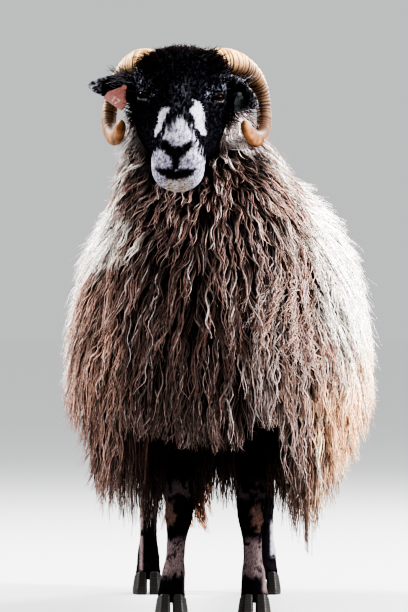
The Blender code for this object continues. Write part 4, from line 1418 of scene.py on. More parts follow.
class LockSweep:
    """A Geometry Nodes tree that sweeps a flattened ring along every centre line."""

    def __init__(self) -> None:
        """Build the tree once; every coat piece uses it with its own inputs."""
        self.tree = bpy.data.node_groups.new("lock_sweep", "GeometryNodeTree")
        face = self.tree.interface
        face.new_socket("Centre Lines", in_out="INPUT", socket_type="NodeSocketGeometry")
        self.sides = face.new_socket("Sides", in_out="INPUT", socket_type="NodeSocketInt")
        self.flat = face.new_socket("Flatness", in_out="INPUT", socket_type="NodeSocketFloat")
        self.finish = face.new_socket("Finish", in_out="INPUT", socket_type="NodeSocketMaterial")
        face.new_socket("Locks", in_out="OUTPUT", socket_type="NodeSocketGeometry")
        self.wire()

    def add(self, kind: str, settings: dict | None = None, sockets: dict | None = None) -> bpy.types.Node:
        """Add a node to this tree."""
        return add_node(self.tree, kind, settings, sockets)

    def stored(self, name: str, kind: str) -> bpy.types.NodeSocket:
        """A value stored on the centre lines."""
        return self.add("GeometryNodeInputNamedAttribute", {"data_type": kind}, {"Name": name}).outputs[0]

    def wire(self) -> None:
        """Centre lines to curves, a flattened ring with its own place across, sweep, map and finish."""
        given = self.add("NodeGroupInput").outputs
        curves = self.add("GeometryNodeMeshToCurve", {}, {"Mesh": given["Centre Lines"]})
        lying = self.add("GeometryNodeSetCurveNormal", {"mode": "FREE"},
                         {"Curve": curves.outputs[0], "Normal": self.stored("lie", "FLOAT_VECTOR")})
        ring = self.add("GeometryNodeCurvePrimitiveCircle", {},
                        {"Resolution": given["Sides"], "Radius": 1.0})
        squash = self.add("ShaderNodeCombineXYZ", {}, {"X": given["Flatness"], "Y": 1.0, "Z": 1.0})
        flat = self.add("GeometryNodeTransform", {},
                        {"Geometry": ring.outputs[0], "Scale": squash.outputs[0]})
        turn = self.add("GeometryNodeSplineParameter")
        marked = self.add("GeometryNodeStoreNamedAttribute", {"data_type": "FLOAT", "domain": "POINT"},
                          {"Geometry": flat.outputs[0], "Name": "across", "Value": turn.outputs["Factor"]})
        swept = self.add("GeometryNodeCurveToMesh", {},
                         {"Curve": lying.outputs[0], "Profile Curve": marked.outputs[0],
                          "Scale": self.stored("half", "FLOAT"), "Fill Caps": True})
        wide = self.add("ShaderNodeVectorMath", {"operation": "SCALE"},
                        {0: (BAKE_PATCH, 0.0, 0.0), "Scale": self.stored("across", "FLOAT")})
        spot = self.add("ShaderNodeVectorMath", {"operation": "ADD"},
                        {0: self.stored("patch", "FLOAT_VECTOR"), 1: wide.outputs[0]})
        mapped = self.add("GeometryNodeStoreNamedAttribute", {"data_type": "FLOAT2", "domain": "CORNER"},
                          {"Geometry": swept.outputs[0], "Name": "OFBake", "Value": spot.outputs[0]})
        smooth = self.add("GeometryNodeSetShadeSmooth", {}, {"Geometry": mapped.outputs[0]})
        real = self.add("GeometryNodeRealizeInstances", {}, {"Geometry": smooth.outputs[0]})
        dressed = self.add("GeometryNodeSetMaterial", {},
                           {"Geometry": real.outputs[0], "Material": given["Finish"]})
        taken = self.add("NodeGroupOutput")
        self.tree.links.new(dressed.outputs[0], taken.inputs[0])

    def make(self, name: str, strands: Strands, sides: int, flat: float,
             finish: bpy.types.Material) -> bpy.types.Object:
        """Sweep one coat piece and hand it to the frame.

        Args:
            name: the piece's name.
            strands: its centre lines.
            sides: corners of the swept ring.
            flat: thickness over width.
            finish: its material.

        Returns:
            The finished piece.
        """
        piece = add_object(name, strands.guide_mesh(name))
        modifier = piece.modifiers.new("sweep", "NODES")
        modifier.node_group = self.tree
        modifier[self.sides.identifier] = sides
        modifier[self.flat.identifier] = flat
        modifier[self.finish.identifier] = finish
        apply_modifiers(piece)
        mesh = piece.data
        for spare in ("half", "lie", "patch", "across"):
            if spare in mesh.attributes:
                mesh.attributes.remove(mesh.attributes[spare])
        if not mesh.materials:
            mesh.materials.append(finish)
        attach(piece, BODY)
        count = sum(len(polygon.vertices) - 2 for polygon in mesh.polygons)
        LOG.info("%s: %d tufts, %d triangles", name, len(strands.root), count)
        return piece


def wool_finish() -> bpy.types.Material:
    """Greasy wool: her stored colours broken into fine fibres of light and dark."""
    finish = Finish("wool", {"Roughness": 0.75, "Specular IOR Level": 0.15, "Sheen Weight": 0.05})
    tone = finish.attribute("tone", "Color")
    fibres = finish.noise(finish.place((1.0, 1.0, 0.14)), 750.0, 2.0)
    light = finish.mix(fibres.step(0.32, 0.68), (0.52, 0.49, 0.47), (1.30, 1.30, 1.30))
    finish.feed("Base Color", finish.mix(1.0, tone, light, "MULTIPLY"))
    finish.feed("Normal", finish.bump(fibres, 0.0010, 0.8))
    return finish.material


def hair_finish() -> bpy.types.Material:
    """Short matt hair in her stored colours."""
    finish = Finish("tuft_hair", {"Roughness": 0.9, "Specular IOR Level": 0.01})
    tone = finish.attribute("tone", "Color")
    fleck = finish.noise(finish.place(), 420.0, 2.0)
    light = finish.mix(fleck.step(0.3, 0.7), (0.80, 0.79, 0.78), (1.18, 1.18, 1.18))
    finish.feed("Base Color", finish.mix(1.0, tone, light, "MULTIPLY"))
    return finish.material


@dataclass
class Fleece:
    """The long coat: clumps of wavy strands that root under the outline and hang out to it."""

    skin: Skin
    markings: Markings
    head_form: Form
    rings: int = 19
    seed: int = 11
    candidates: int = 70000
    # across the body, and how low the wool hangs there
    hem_line: tuple = (
        (-0.275, 0.44), (-0.255, 0.335), (-0.235, 0.270), (-0.212, 0.222), (-0.167, 0.176), (-0.120, 0.155),
        (-0.085, 0.195), (-0.050, 0.215), (0.050, 0.215), (0.095, 0.200), (0.130, 0.160), (0.150, 0.150),
        (0.175, 0.190), (0.203, 0.236), (0.236, 0.262), (0.256, 0.330), (0.275, 0.42),
    )

    def build(self, sweep: LockSweep, finish: bpy.types.Material) -> list[bpy.types.Object]:
        """Make every piece of the fleece.

        Args:
            sweep: the tree that sweeps them.
            finish: the wool's material.

        Returns:
            The finished pieces.
        """
        rng = np.random.default_rng(self.seed)
        guides = self.guides(rng)
        LOG.info("fleece: %d clumps", len(guides["path"]))
        strands, owner = self.strands(guides, rng)
        pieces = []
        for name, slot, rows in self.regions(guides["root"][owner]):
            pieces.append(sweep.make(name, strands.taken(rows), 3, 0.55, finish))
        belly = self.belly(rng)
        for side_name, side in SIDES.items():
            rows = np.where(belly.points[:, 0, 0] * side > 0)[0]
            name = f"fleece_belly_{side_name}"
            pieces.append(sweep.make(name, belly.taken(rows), 3, 0.55, finish))
        return pieces

    def belly(self, rng: np.random.Generator) -> Strands:
        """Dark locks that hang from the belly inside the hem; their darkness is painted shade under her body.
        """
        form = self.skin.inner
        at, out = form.nearest(form.scatter(24000, rng))
        keep = (out[:, 2] < -0.30) & (at[:, 1] < 0.44) & (at[:, 2] < 0.45)
        keep &= (at[:, 1] > -0.17) | (np.abs(at[:, 0]) > 0.125)
        at = at[keep]
        at = at[thinned(at, np.full(len(at), 0.0185))]
        at = np.repeat(at, 4, axis=0)
        count, rings = len(at), 8
        spread = rng.normal(0, 0.008, at.shape) * (1, 1, 0)
        at = at + spread
        middle = smooth_step(0.10, 0.06, np.abs(at[:, 0] + 0.01))
        tips = self.hem(at, 0.215) - 0.014 - 0.016 * middle + rng.uniform(0.000, 1.0, count) ** 2 * 0.065
        fall = np.maximum(at[:, 2] - tips, 0.03)
        t = np.linspace(0, 1, rings)[None, :]
        bearing = rng.uniform(0, 2 * math.pi, count)
        sideways = np.stack((np.cos(bearing), np.sin(bearing), np.zeros(count)), axis=1)
        wave = 2 * math.pi * fall[:, None] * t / rng.uniform(0.03, 0.05, count)[:, None] + bearing[:, None]
        sway = rng.uniform(0.0015, 0.0055, count)[:, None] * np.sin(wave) * np.minimum(1, 3 * t)
        points = at[:, None] + sideways[:, None] * sway[..., None] - 0.75 * spread[:, None] * t[..., None]
        points[..., 2] += 0.012 - (fall[:, None] + 0.012) * t
        half = rng.uniform(0.0014, 0.0026, count)[:, None] * (1 - 0.8 * smooth_step(0.5, 1.0, t))
        shade = np.exp(rng.normal(0.0, 0.45, count))[:, None] * (0.5 + 1.0 * t)
        # painted shade: near-black brown locks, and a darkened copy of the flank colour outside the legs
        base = blend(self.markings.dark_brown * 1.5, self.markings.brown * 0.7, 0.5 * rng.random(count) ** 3)
        low = at * (1.0, 1.0, 0.0) + (0.0, 0.0, 0.36)
        outer = smooth_step(0.115, 0.180, np.abs(at[:, 0]) + rng.normal(0.0, 0.012, count))
        base = blend(base, self.markings.fleece(low) * 0.62, outer)
        tone = np.clip(base[:, None] * shade[..., None], 0.0015, 0.6)
        lie = np.broadcast_to(np.cross(sideways, (0.0, 0.0, 1.0))[:, None], points.shape)
        return Strands(points, lie, half, tone, self.unwrap(at))

    def head_distance(self, places: np.ndarray) -> np.ndarray:
        """How far places are from the middle of the head."""
        return np.linalg.norm(self.skin.head.to_face(places) - HEAD_MIDDLE, axis=1)

    def is_front(self, places: np.ndarray) -> np.ndarray:
        """1 on the neck, chest and fore flanks, 0 behind."""
        return smooth_step(0.02, -0.12, places[:, 1])

    def spacing(self, places: np.ndarray) -> np.ndarray:
        """How far apart clumps stand."""
        near = self.head_distance(places)
        base = 0.0255 - 0.0075 * self.is_front(places)
        base = base - 0.0060 * smooth_step(0.23, 0.16, near)
        tail = places[:, 1] > 0.49
        base = base * (1 - 0.22 * self.curly(places))
        return np.where(tail, 0.019, base)

    def hem(self, places: np.ndarray, apron: float) -> np.ndarray:
        """The height that the tips of the wool hang down to.

        It is lowest outside the legs, higher between them and rises towards the widest part of
        the flanks.

        Args:
            places: where the wool roots.
            apron: the least height in front of the legs.

        Returns:
            The heights.
        """
        x, y, _ = places.T
        low = np.interp(x, *np.array(self.hem_line).T)
        ahead = smooth_step(-0.22, -0.29, y) * smooth_step(0.125, 0.100, x) * smooth_step(-0.190, -0.165, x)
        arch = apron + 0.040 * ((x + 0.03) / 0.14) ** 2
        low = np.where(ahead > 0, np.maximum(low, low + (arch - low) * ahead), low)
        rear = smooth_step(0.30, 0.42, places[:, 1]) * smooth_step(0.15, 0.10, np.abs(places[:, 0] + 0.03))
        low = low + (0.33 - low) * rear
        low = np.where((places[:, 1] > 0.480) & (np.abs(places[:, 0] - TAIL_X) < 0.085), 0.125, low)
        ragged = 0.050 * (lattice_noise(places * (1, 1, 0), 0.030, 22) - 0.5)
        return low + ragged

    def curly(self, places: np.ndarray) -> np.ndarray:
        """How tousled the wool is, 0 to 1: a curly patch before her left shoulder."""
        x, y, z = places.T
        away = np.hypot((x - 0.115) / 0.075, (z - 0.61) / 0.070)
        return smooth_step(1.2, 0.6, away) * (y < -0.15)

    def flow(self, places: np.ndarray, out: np.ndarray, swirl: np.ndarray) -> np.ndarray:
        """The direction in which wool lies along the surface."""
        x, y, _ = places.T
        side = np.tanh((x - 0.004) / 0.03)
        on_back = smooth_step(0.35, 0.75, out[:, 2]) * smooth_step(-0.30, -0.15, y)
        trunk = smooth_step(-0.25, -0.05, y)
        pull = np.zeros_like(places)
        pull[:, 0] = side * (0.12 + 0.9 * on_back)
        pull[:, 1] = 0.22 * trunk + 0.1
        pull[:, 2] = -1.0
        near = self.skin.head.to_face(places)
        away = places - self.skin.head.from_face((0.0, 0.06, -0.02))
        close = smooth_step(0.24, 0.10, np.linalg.norm(near - (0.0, 0.06, -0.02), axis=1))
        pull += unit(away) * close[:, None] * np.where(away[:, 1] < -0.02, 0.04, 0.60)[:, None]
        along = unit(pull - out * (pull * out).sum(1, keepdims=True))
        across = np.cross(out, along)
        return along * np.cos(swirl)[:, None] + across * np.sin(swirl)[:, None]

    def guides(self, rng: np.random.Generator) -> dict:
        """Root the clumps and run each one's path along the outline.

        Args:
            rng: the source of random draws.

        Returns:
            The paths, the normals along them, the roots, and each clump's length.
        """
        form = self.skin.outline
        places = form.scatter(self.candidates, rng)
        at, out = form.nearest(places)
        drop = at[:, 2] - self.hem(at, 0.300)
        near_head, head_out = self.head_form.nearest(at)
        gap = ((at - near_head) * head_out).sum(1)
        keep = (out[:, 2] > -0.45) & (drop > 0.035) & (gap > 0.004)
        at, out, drop = at[keep], out[keep], drop[keep]
        rows = thinned(at, self.spacing(at))
        at, out, drop = at[rows], out[rows], drop[rows]
        count = len(at)
        near = self.head_distance(at)
        length = 0.042 + 0.103 * smooth_step(0.12, 0.28, near)
        length = length * rng.uniform(0.75, 1.25, count)
        length = np.clip(length, 0.035, np.maximum(drop * 1.02, 0.04))
        curly = self.curly(at)
        swirl = (0.70 + 0.8 * curly) * (lattice_noise(at, 0.07, 21) - 0.5) + rng.normal(0, 0.12, count)
        path = np.zeros((count, self.rings, 3))
        lie = np.zeros_like(path)
        base, facing = at.copy(), out.copy()
        heading = self.flow(base, facing, swirl)
        step = (length / (self.rings - 1))[:, None]
        for ring in range(self.rings):
            path[:, ring], lie[:, ring] = base, facing
            ahead = base + heading * step
            on, facing_next = form.nearest(ahead)
            hang = smooth_step(-0.10, -0.40, facing_next[:, 2])
            base = blend(on, ahead, hang)
            facing = unit(blend(facing_next, facing, hang))
            flow = self.flow(base, facing, swirl)
            heading = unit(blend(0.55 * heading + 0.45 * flow, (0.0, 0.0, -1.0), 0.6 * hang))
        return {"path": path, "lie": lie, "root": at, "length": length, "near": near, "curly": curly}

    def strands(self, guides: dict, rng: np.random.Generator) -> tuple[Strands, np.ndarray]:
        """Hang wavy strands round every clump's path.

        Args:
            guides: the clumps.
            rng: the source of random draws.

        Returns:
            The strands, and the clump that each belongs to.
        """
        path, lie, root, length = (guides[key] for key in ("path", "lie", "root", "length"))
        front = self.is_front(root)
        many = np.where(front > 0.5, 5, 4)
        owner = np.repeat(np.arange(len(root)), many)
        count = len(owner)
        t = np.linspace(0, 1, self.rings)[None, :]
        tangent = unit(np.gradient(path, axis=1))
        side = unit(np.cross(tangent, lie))
        clump = len(root)
        depth = (0.012 + 0.020 * smooth_step(0.14, 0.28, guides["near"])) * rng.uniform(0.8, 1.1, clump)
        layer = -rng.uniform(0.0, 1.0, clump) ** 1.5 * 0.011
        shag = rng.uniform(0.3, 1.0, clump)
        run = t * length[owner][:, None]
        rise = -depth[owner][:, None] * (1 - t) ** 1.6 + layer[owner][:, None]
        on_back = smooth_step(0.50, 0.85, lie[:, 0, 2]) * smooth_step(-0.20, -0.05, root[:, 1])
        rise = rise + ((0.006 + 0.014 * on_back) * shag)[owner][:, None] * t**3
        spread = self.spacing(root)[owner] * 0.62
        angle = rng.uniform(0, 2 * math.pi, count)
        within = np.sqrt(rng.uniform(0.05, 1.0, count))
        twist = rng.normal(0, 1.6, clump)[owner] + rng.normal(0, 0.5, count)
        turn = angle[:, None] + twist[:, None] * t
        gather = (0.26 + 0.74 * (1 - t) ** 0.8) * spread[:, None] * within[:, None]
        across = gather * np.cos(turn)
        up = 0.42 * gather * np.sin(turn)
        settle = smooth_step(0.0, 0.25, t)
        long_wave = rng.uniform(0.028, 0.052, clump)[owner] * rng.uniform(0.85, 1.18, count)
        curly = guides["curly"][owner]
        long_wave = long_wave * (1 - 0.45 * curly)
        swing = rng.uniform(0.0008, 0.0027, clump)[owner] * rng.uniform(0.5, 1.5, count) * (1 + 0.9 * curly)
        phase = rng.uniform(0, 2 * math.pi, clump)[owner] + rng.normal(0, 0.7, count)
        bend = 2 * math.pi * run / long_wave[:, None] + phase[:, None]
        across = across + settle * swing[:, None] * np.sin(bend)
        up = up + settle * 0.7 * swing[:, None] * np.cos(bend)
        slow = 2 * math.pi * run / rng.uniform(0.07, 0.13, clump)[owner][:, None]
        drift = rng.uniform(0.001, 0.006, clump)[owner][:, None]
        across = across + settle * drift * np.sin(slow + 1.7 * phase[:, None])
        hooked = (rng.random(count) < 0.5) * rng.uniform(0.003, 0.011, count)
        hook_turn = rng.uniform(-0.3, math.pi + 0.3, count)
        curl = np.clip((t - 0.78) / 0.22, 0, 1) ** 2 * hooked[:, None]
        across = across + curl * np.cos(hook_turn)[:, None]
        up = up + curl * np.maximum(np.sin(hook_turn), 0)[:, None]
        loose = rng.random(count) < 0.07
        stray = np.where(loose, rng.uniform(0.004, 0.013, count), 0.0)
        up = up + stray[:, None] * t**1.5
        across = across + stray[:, None] * t * np.sin(3.0 * t + phase[:, None])
        points = path[owner] + side[owner] * across[..., None] + lie[owner] * (rise + up)[..., None]
        points = self.clear_of_head(points)
        close = smooth_step(0.20, 0.15, guides["near"])[owner]
        half = rng.uniform(0.0011, 0.0020, count) * (1.45 - 0.45 * front[owner]) * (1 - 0.25 * close)
        half = np.where(loose, half * 0.5, half)
        taper = (0.55 + 0.45 * smooth_step(0.0, 0.3, t)) * (1 - 0.85 * smooth_step(0.62, 1.0, t))
        width = half[:, None] * taper
        tone = self.tones(path, owner, t, rng)
        spot = self.unwrap(points[:, 0])
        return Strands(points, lie[owner], width, tone, spot), owner

    def clear_of_head(self, points: np.ndarray) -> np.ndarray:
        """Push strand points that would enter the head back out of it."""
        flat = points.reshape(-1, 3)
        rows = np.where(self.head_distance(flat) < 0.21)[0]
        at, out = self.head_form.nearest(flat[rows])
        gap = ((flat[rows] - at) * out).sum(1)
        push = np.maximum(0.0, 0.0025 - gap)
        flat[rows] += out * np.minimum(push, 0.03)[:, None]
        return flat.reshape(points.shape)

    def tones(self, path: np.ndarray, owner: np.ndarray, t: np.ndarray,
              rng: np.random.Generator) -> np.ndarray:
        """Colours along the strands: painted shade at the root, pale at the tip from weathering and painted
        highlights.
        """
        clump, rings = path.shape[:2]
        count = len(owner)
        stray = rng.normal(0, 0.013, (clump, 1, 3)) * (path[:, :1, 1:2] < 0.42)
        stray[..., 1] *= 1 + 1.8 * smooth_step(0.12, 0.17, np.abs(path[:, :1, 0]))
        base = self.markings.fleece((path + stray).reshape(-1, 3)).reshape(clump, rings, 3)[owner]
        pale = smooth_step(0.28, 0.55, base[..., 1])
        bright = rng.uniform(0.50, 1.40, clump)[owner] * np.exp(rng.normal(0, 0.40, count))
        bright = bright[:, None] * (1 - pale) + bright[:, None] ** 0.3 * pale
        # painted shade at the root, deep in the coat; brown tips lighter, partly weathering and partly
        # painted highlight
        root = 0.24 + 0.40 * pale
        along = root + (1 - root) * smooth_step(0.10, 0.60, t) + 0.50 * (1 - pale) * smooth_step(0.55, 1.0, t)
        tone = base * (bright * along)[..., None]
        # pale straw strands towards the tips: sun-bleaching and painted highlights
        bleach_and_highlight = rng.random(count)[:, None] ** 3 * smooth_step(0.2, 0.8, t)
        straw = np.array((0.56, 0.420, 0.375))
        share = 0.48 * bleach_and_highlight * (base[..., 0] < 0.5) * (base[..., 2] > 0.02)
        tone = blend(tone, np.broadcast_to(straw, tone.shape), share)
        chance = self.markings.ropy(path.reshape(-1, 3)).reshape(clump, rings).mean(axis=1)[owner]
        picked = (rng.random(count) < chance) * rng.uniform(0.4, 0.9, count)
        pinkish = self.markings.rosy * 0.72
        share = picked[:, None] * smooth_step(0.15, 0.5, t) * (1 - pale)
        return np.clip(blend(tone, np.broadcast_to(pinkish, tone.shape), share), 0.002, 0.86)

    def unwrap(self, places: np.ndarray) -> np.ndarray:
        """Roots laid out flat: the angle round the body's length, and the way along it."""
        x, y, z = places.T
        lean = smooth_step(-0.20, -0.42, y)
        middle = 0.46 + 0.20 * lean
        angle = np.arctan2(x, z - middle)
        along = y - 0.9 * np.maximum(0.0, z - 0.80) - 0.25 * lean * z
        return np.stack((angle, along), axis=1)

    def regions(self, root: np.ndarray) -> list[tuple[str, str, np.ndarray]]:
        """Split the strands into pieces: name, material slot and rows."""
        x, y, z = root.T
        tail = (y > 0.488) & (np.abs(x - TAIL_X) < 0.08) & (z < 0.60)
        neck = (z > 0.60) & (y < -0.19) & ~tail
        chest = (y < -0.19) & ~neck & ~tail
        back = (z > 0.66) & ~neck & ~tail
        flank = ~(tail | neck | chest | back)
        out = [("fleece_tail", "tail_wool", tail)]
        for side_name, side in SIDES.items():
            own = x * side > 0
            out += [
                (f"fleece_mane_{side_name}", "fleece_brown", neck & own),
                (f"fleece_chest_{side_name}", "fleece_brown", chest & own),
                (f"fleece_back_{side_name}", "fleece_cream", back & own),
                (f"fleece_fore_flank_{side_name}", "fleece_cream", flank & own & (y < 0.15)),
                (f"fleece_hind_flank_{side_name}", "fleece_cream", flank & own & (y >= 0.15)),
            ]
        return [(name, slot, np.where(rows)[0]) for name, slot, rows in out]


@dataclass
class ShortHair:
    """Small tufts that break the flat coat of face, ears and legs, and the curly poll."""

    skin: Skin
    markings: Markings
    horns: Horns
    rings: int = 4

    def build(self, sweep: LockSweep, finish: bpy.types.Material) -> list[bpy.types.Object]:
        """Make the tufts of the head, the poll and the legs.

        Args:
            sweep: the tree that sweeps them.
            finish: their material.

        Returns:
            The finished pieces.
        """
        form = Form(self.skin.piece.data)
        pieces = []
        for name, slot, maker, seed in (
            ("hair_face", "face_hair", self.face, 31),
            ("hair_poll", "face_hair", self.poll, 32),
            ("hair_brow", "face_hair", self.brow, 34),
            ("hair_legs", "leg_hair", self.legs, 33),
        ):
            strands = maker(form, np.random.default_rng(seed))
            pieces.append(sweep.make(name, strands, 3, 0.6, finish))
        return pieces

    def grow(self, at: np.ndarray, out: np.ndarray, flow: np.ndarray, length: np.ndarray,
             lift: float, half: float, rings: int, wave: float, tone: np.ndarray,
             spot: np.ndarray, rng: np.random.Generator) -> Strands:
        """Grow tufts from their roots.

        Args:
            at: the roots.
            out: the surface normals there.
            flow: the lie of the hair.
            length: each tuft's length.
            lift: rise over length at the tip.
            half: half width at the root.
            rings: points along each tuft.
            wave: sideways swing in metres.
            tone: the colour at each root.
            spot: the roots on the unwrapped skin.
            rng: the source of random draws.

        Returns:
            The strands.
        """
        count = len(at)
        t = np.linspace(0, 1, rings)[None, :, None]
        along = unit(flow - out * (flow * out).sum(1, keepdims=True))
        across = np.cross(out, along)
        fan = rng.normal(0, 0.22, count)[:, None]
        along = along * np.cos(fan) + across * np.sin(fan)
        reach = length[:, None, None] * t
        rise = reach * lift * rng.uniform(0.4, 1.6, count)[:, None, None] * (1.3 - 0.6 * t)
        swing = wave * np.sin(2 * math.pi * reach / 0.011 + rng.uniform(0, 6.28, count)[:, None, None])
        points = at[:, None] + along[:, None] * reach + out[:, None] * (rise - 0.0006)
        points = points + across[:, None] * swing * np.minimum(1.0, 2 * t)
        width = half * rng.uniform(0.7, 1.3, count)[:, None] * (1 - 0.85 * t[..., 0] ** 1.5)
        shade = np.exp(rng.normal(0, 0.25, count))[:, None, None] * (0.75 + 0.5 * t)
        colour = np.clip(tone[:, None] * shade, 0.003, 0.85)
        lie = np.broadcast_to(out[:, None], points.shape)
        return Strands(points, lie, width, colour, spot)

    def rooted(self, form: Form, count: int, gap: float, low: Vector, high: Vector,
               rng: np.random.Generator) -> tuple[np.ndarray, np.ndarray]:
        """Spread roots over the part of the skin within a box.

        Args:
            form: the skin.
            count: how many candidates to draw over the whole skin.
            gap: the least distance between roots.
            low: the box's low corner.
            high: its high corner.
            rng: the source of random draws.

        Returns:
            The roots and the normals there.
        """
        inside = np.all((form.points > low) & (form.points < high), axis=1)
        part = Form.__new__(Form)
        part.points, part.normals = form.points, form.normals
        part.corners = form.corners[inside[form.corners].all(axis=1)]
        places = part.scatter(count, rng)
        places = places[thinned(places, np.full(len(places), gap))]
        at, out = form.nearest(places)
        return at, out

    def face(self, form: Form, rng: np.random.Generator) -> Strands:
        """Short hair of the face and ears, lying away from the nose and out along the ears."""
        head = self.skin.head
        low, high = head.origin - (0.19, 0.11, 0.20), head.origin + (0.19, 0.15, 0.08)
        at, out = self.rooted(form, 26000, 0.0030, low, high, rng)
        near, upright = head.to_face(at), head.to_upright(at)
        behind = np.linalg.norm(near - (0.0, 0.070, -0.030), axis=1) < 0.150
        ear = (np.abs(upright[:, 0]) > 0.083) & (upright[:, 2] > -0.075)
        bare = self.bare(near, upright)
        poll = (near[:, 2] > 0.050) & (np.abs(near[:, 0]) < 0.055)
        keep = (behind | ear) & (bare < 0.5) & ~poll
        at, out, near, upright, ear = at[keep], out[keep], near[keep], upright[keep], ear[keep]
        flow = np.stack((0.35 * np.sign(near[:, 0]) * np.minimum(1, np.abs(near[:, 0]) / 0.03),
                         0.6 * np.ones(len(at)), 0.75 - 6.0 * near[:, 1].clip(0, 0.2)), axis=1)
        flow = flow @ head.face.T
        side = np.sign(upright[:, 0])
        outward = np.stack((side, np.where(side > 0, -0.9, 0.04), np.where(side > 0, -0.5, 0.06)), 1)
        flow = np.where(ear[:, None], outward @ head.upright.T, flow)
        muzzle = smooth_step(-0.09, -0.12, near[:, 2])
        length = (0.0075 - 0.0032 * muzzle - 0.0022 * ear) * rng.uniform(0.7, 1.3, len(at))
        tone = self.markings.head_hair(at)
        angle = np.arctan2(near[:, 0], 0.07 - near[:, 1])
        spot = np.stack((angle, near[:, 2] + 0.3 * near[:, 1]), axis=1)
        return self.grow(at, out, flow, length, 0.16, 0.00060, self.rings, 0.0, tone, spot, rng)

    def bare(self, near: np.ndarray, upright: np.ndarray) -> np.ndarray:
        """1 where the skin is bare: eyes, nostrils and lips."""
        bare = np.zeros(len(near))
        for side in SIDES.values():
            eye = (side * self.skin.head.eye_out, self.skin.head.eye_deep, self.skin.head.eye_up)
            bare = np.maximum(bare, np.linalg.norm(near - eye, axis=1) < 0.0162)
        front = upright[:, 1] < 0.0
        for outline in (NOSE, LIPS):
            bare = np.maximum(bare, (polygon_depth(upright[:, (0, 2)], outline) > -0.0005) & front)
        return bare

    def poll(self, form: Form, rng: np.random.Generator) -> Strands:
        """The dense curly tuft between the horns."""
        head = self.skin.head
        low, high = head.origin - (0.10, 0.02, 0.02), head.origin + (0.10, 0.20, 0.09)
        at, out = self.rooted(form, 16000, 0.0030, low, high, rng)
        near = head.to_face(at)
        keep = (near[:, 2] > 0.040) & (np.abs(near[:, 0]) < 0.066) & (near[:, 1] < 0.125)
        at, out, near = at[keep], out[keep], near[keep]
        flow = np.stack((0.5 * np.sign(near[:, 0]), 0.4 * np.ones(len(at)), 0.9 * np.ones(len(at))), 1)
        flow = flow + rng.normal(0, 0.45, flow.shape)
        flow = flow @ head.face.T
        length = 0.0085 + 0.003 * smooth_step(0.044, 0.075, near[:, 2])
        length = length * rng.uniform(0.7, 1.3, len(at))
        tone = self.markings.head_hair(at)
        brown = rng.random(len(at)) * smooth_step(0.050, 0.080, near[:, 2])
        tone = blend(tone, self.markings.brown * (0.55, 0.50, 0.54), 0.9 * brown**1.6)
        return self.grow(at, out, flow, length, 0.45, 0.0010, 7, 0.0021, tone, near[:, :2], rng)

    def brow(self, form: Form, rng: np.random.Generator) -> Strands:
        """Longer black hair that laps over the bases of the horns and fills the sides behind the eyes."""
        head = self.skin.head
        low, high = head.origin - (0.11, 0.05, 0.07), head.origin + (0.11, 0.14, 0.09)
        at, out = self.rooted(form, 16000, 0.0034, low, high, rng)
        for places, facing in self.horns.bases:
            rows = thinned(places, np.full(len(places), 0.0030))
            at, out = np.concatenate((at, places[rows])), np.concatenate((out, facing[rows]))
        near = head.to_face(at)
        across = np.abs(near[:, 0])
        over = (near[:, 2] > 0.022) & (near[:, 2] < 0.095) & (across > 0.026) & (near[:, 1] < 0.075)
        behind = (near[:, 2] > -0.035) & (near[:, 2] < 0.060) & (near[:, 1] > 0.036) & (near[:, 1] < 0.11)
        keep = over | (behind & (across > 0.050))
        at, out, near, over = at[keep], out[keep], near[keep], over[keep]
        side = np.sign(near[:, 0])
        flow = np.stack((side, np.where(over, -0.25, 0.15), np.where(over, 0.35, 0.05)), 1)
        flow = flow + rng.normal(0, 0.25, flow.shape)
        flow = flow @ head.face.T
        length = np.where(over, 0.021, 0.026) * rng.uniform(0.7, 1.3, len(at))
        length = length * (1 - 0.5 * smooth_step(0.045, 0.070, near[:, 2]))
        tone = blend(self.markings.head_hair(at), self.markings.dark_brown, 0.5 * rng.random(len(at)))
        return self.grow(at, out, flow, length, 0.60, 0.0011, 6, 0.0015, tone, near[:, :2], rng)

    def legs(self, form: Form, rng: np.random.Generator) -> Strands:
        """Short hair running down the legs, and the fringe over the hooves."""
        parts, outs = [], []
        for end in ("front", "rear"):
            for side_name in SIDES:
                low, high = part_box(f"leg_{end}_{side_name}")
                pad = Vector((0.004, 0.004, 0.02))
                at, out = self.rooted(form, 9000, 0.0041, np.array(low - pad), np.array(high + pad), rng)
                parts.append(at)
                outs.append(out)
        at, out = np.concatenate(parts), np.concatenate(outs)
        which = np.concatenate([np.full(len(part), i) for i, part in enumerate(parts)])
        flow = np.stack((np.zeros(len(at)), 0.15 * np.ones(len(at)), -np.ones(len(at))), axis=1)
        fetlock = np.exp(-(((at[:, 2] - 0.060) / 0.015) ** 2)) * (out[:, 1] > 0.3)
        length = (0.0070 + 0.005 * fetlock) * rng.uniform(0.7, 1.3, len(at))
        length = np.minimum(length, np.maximum(0.003, at[:, 2] - 0.018))
        tone = self.markings.leg_hair(at)
        middles = np.array([part.mean(0) for part in parts])[which]
        angle = np.arctan2(at[:, 0] - middles[:, 0], at[:, 1] - middles[:, 1])
        spot = np.stack((angle + 7.0 * which, at[:, 2]), axis=1)
        return self.grow(at, out, flow, length, 0.14, 0.00062, self.rings, 0.0, tone, spot, rng)


# ---------------------------------------------------------------- studio


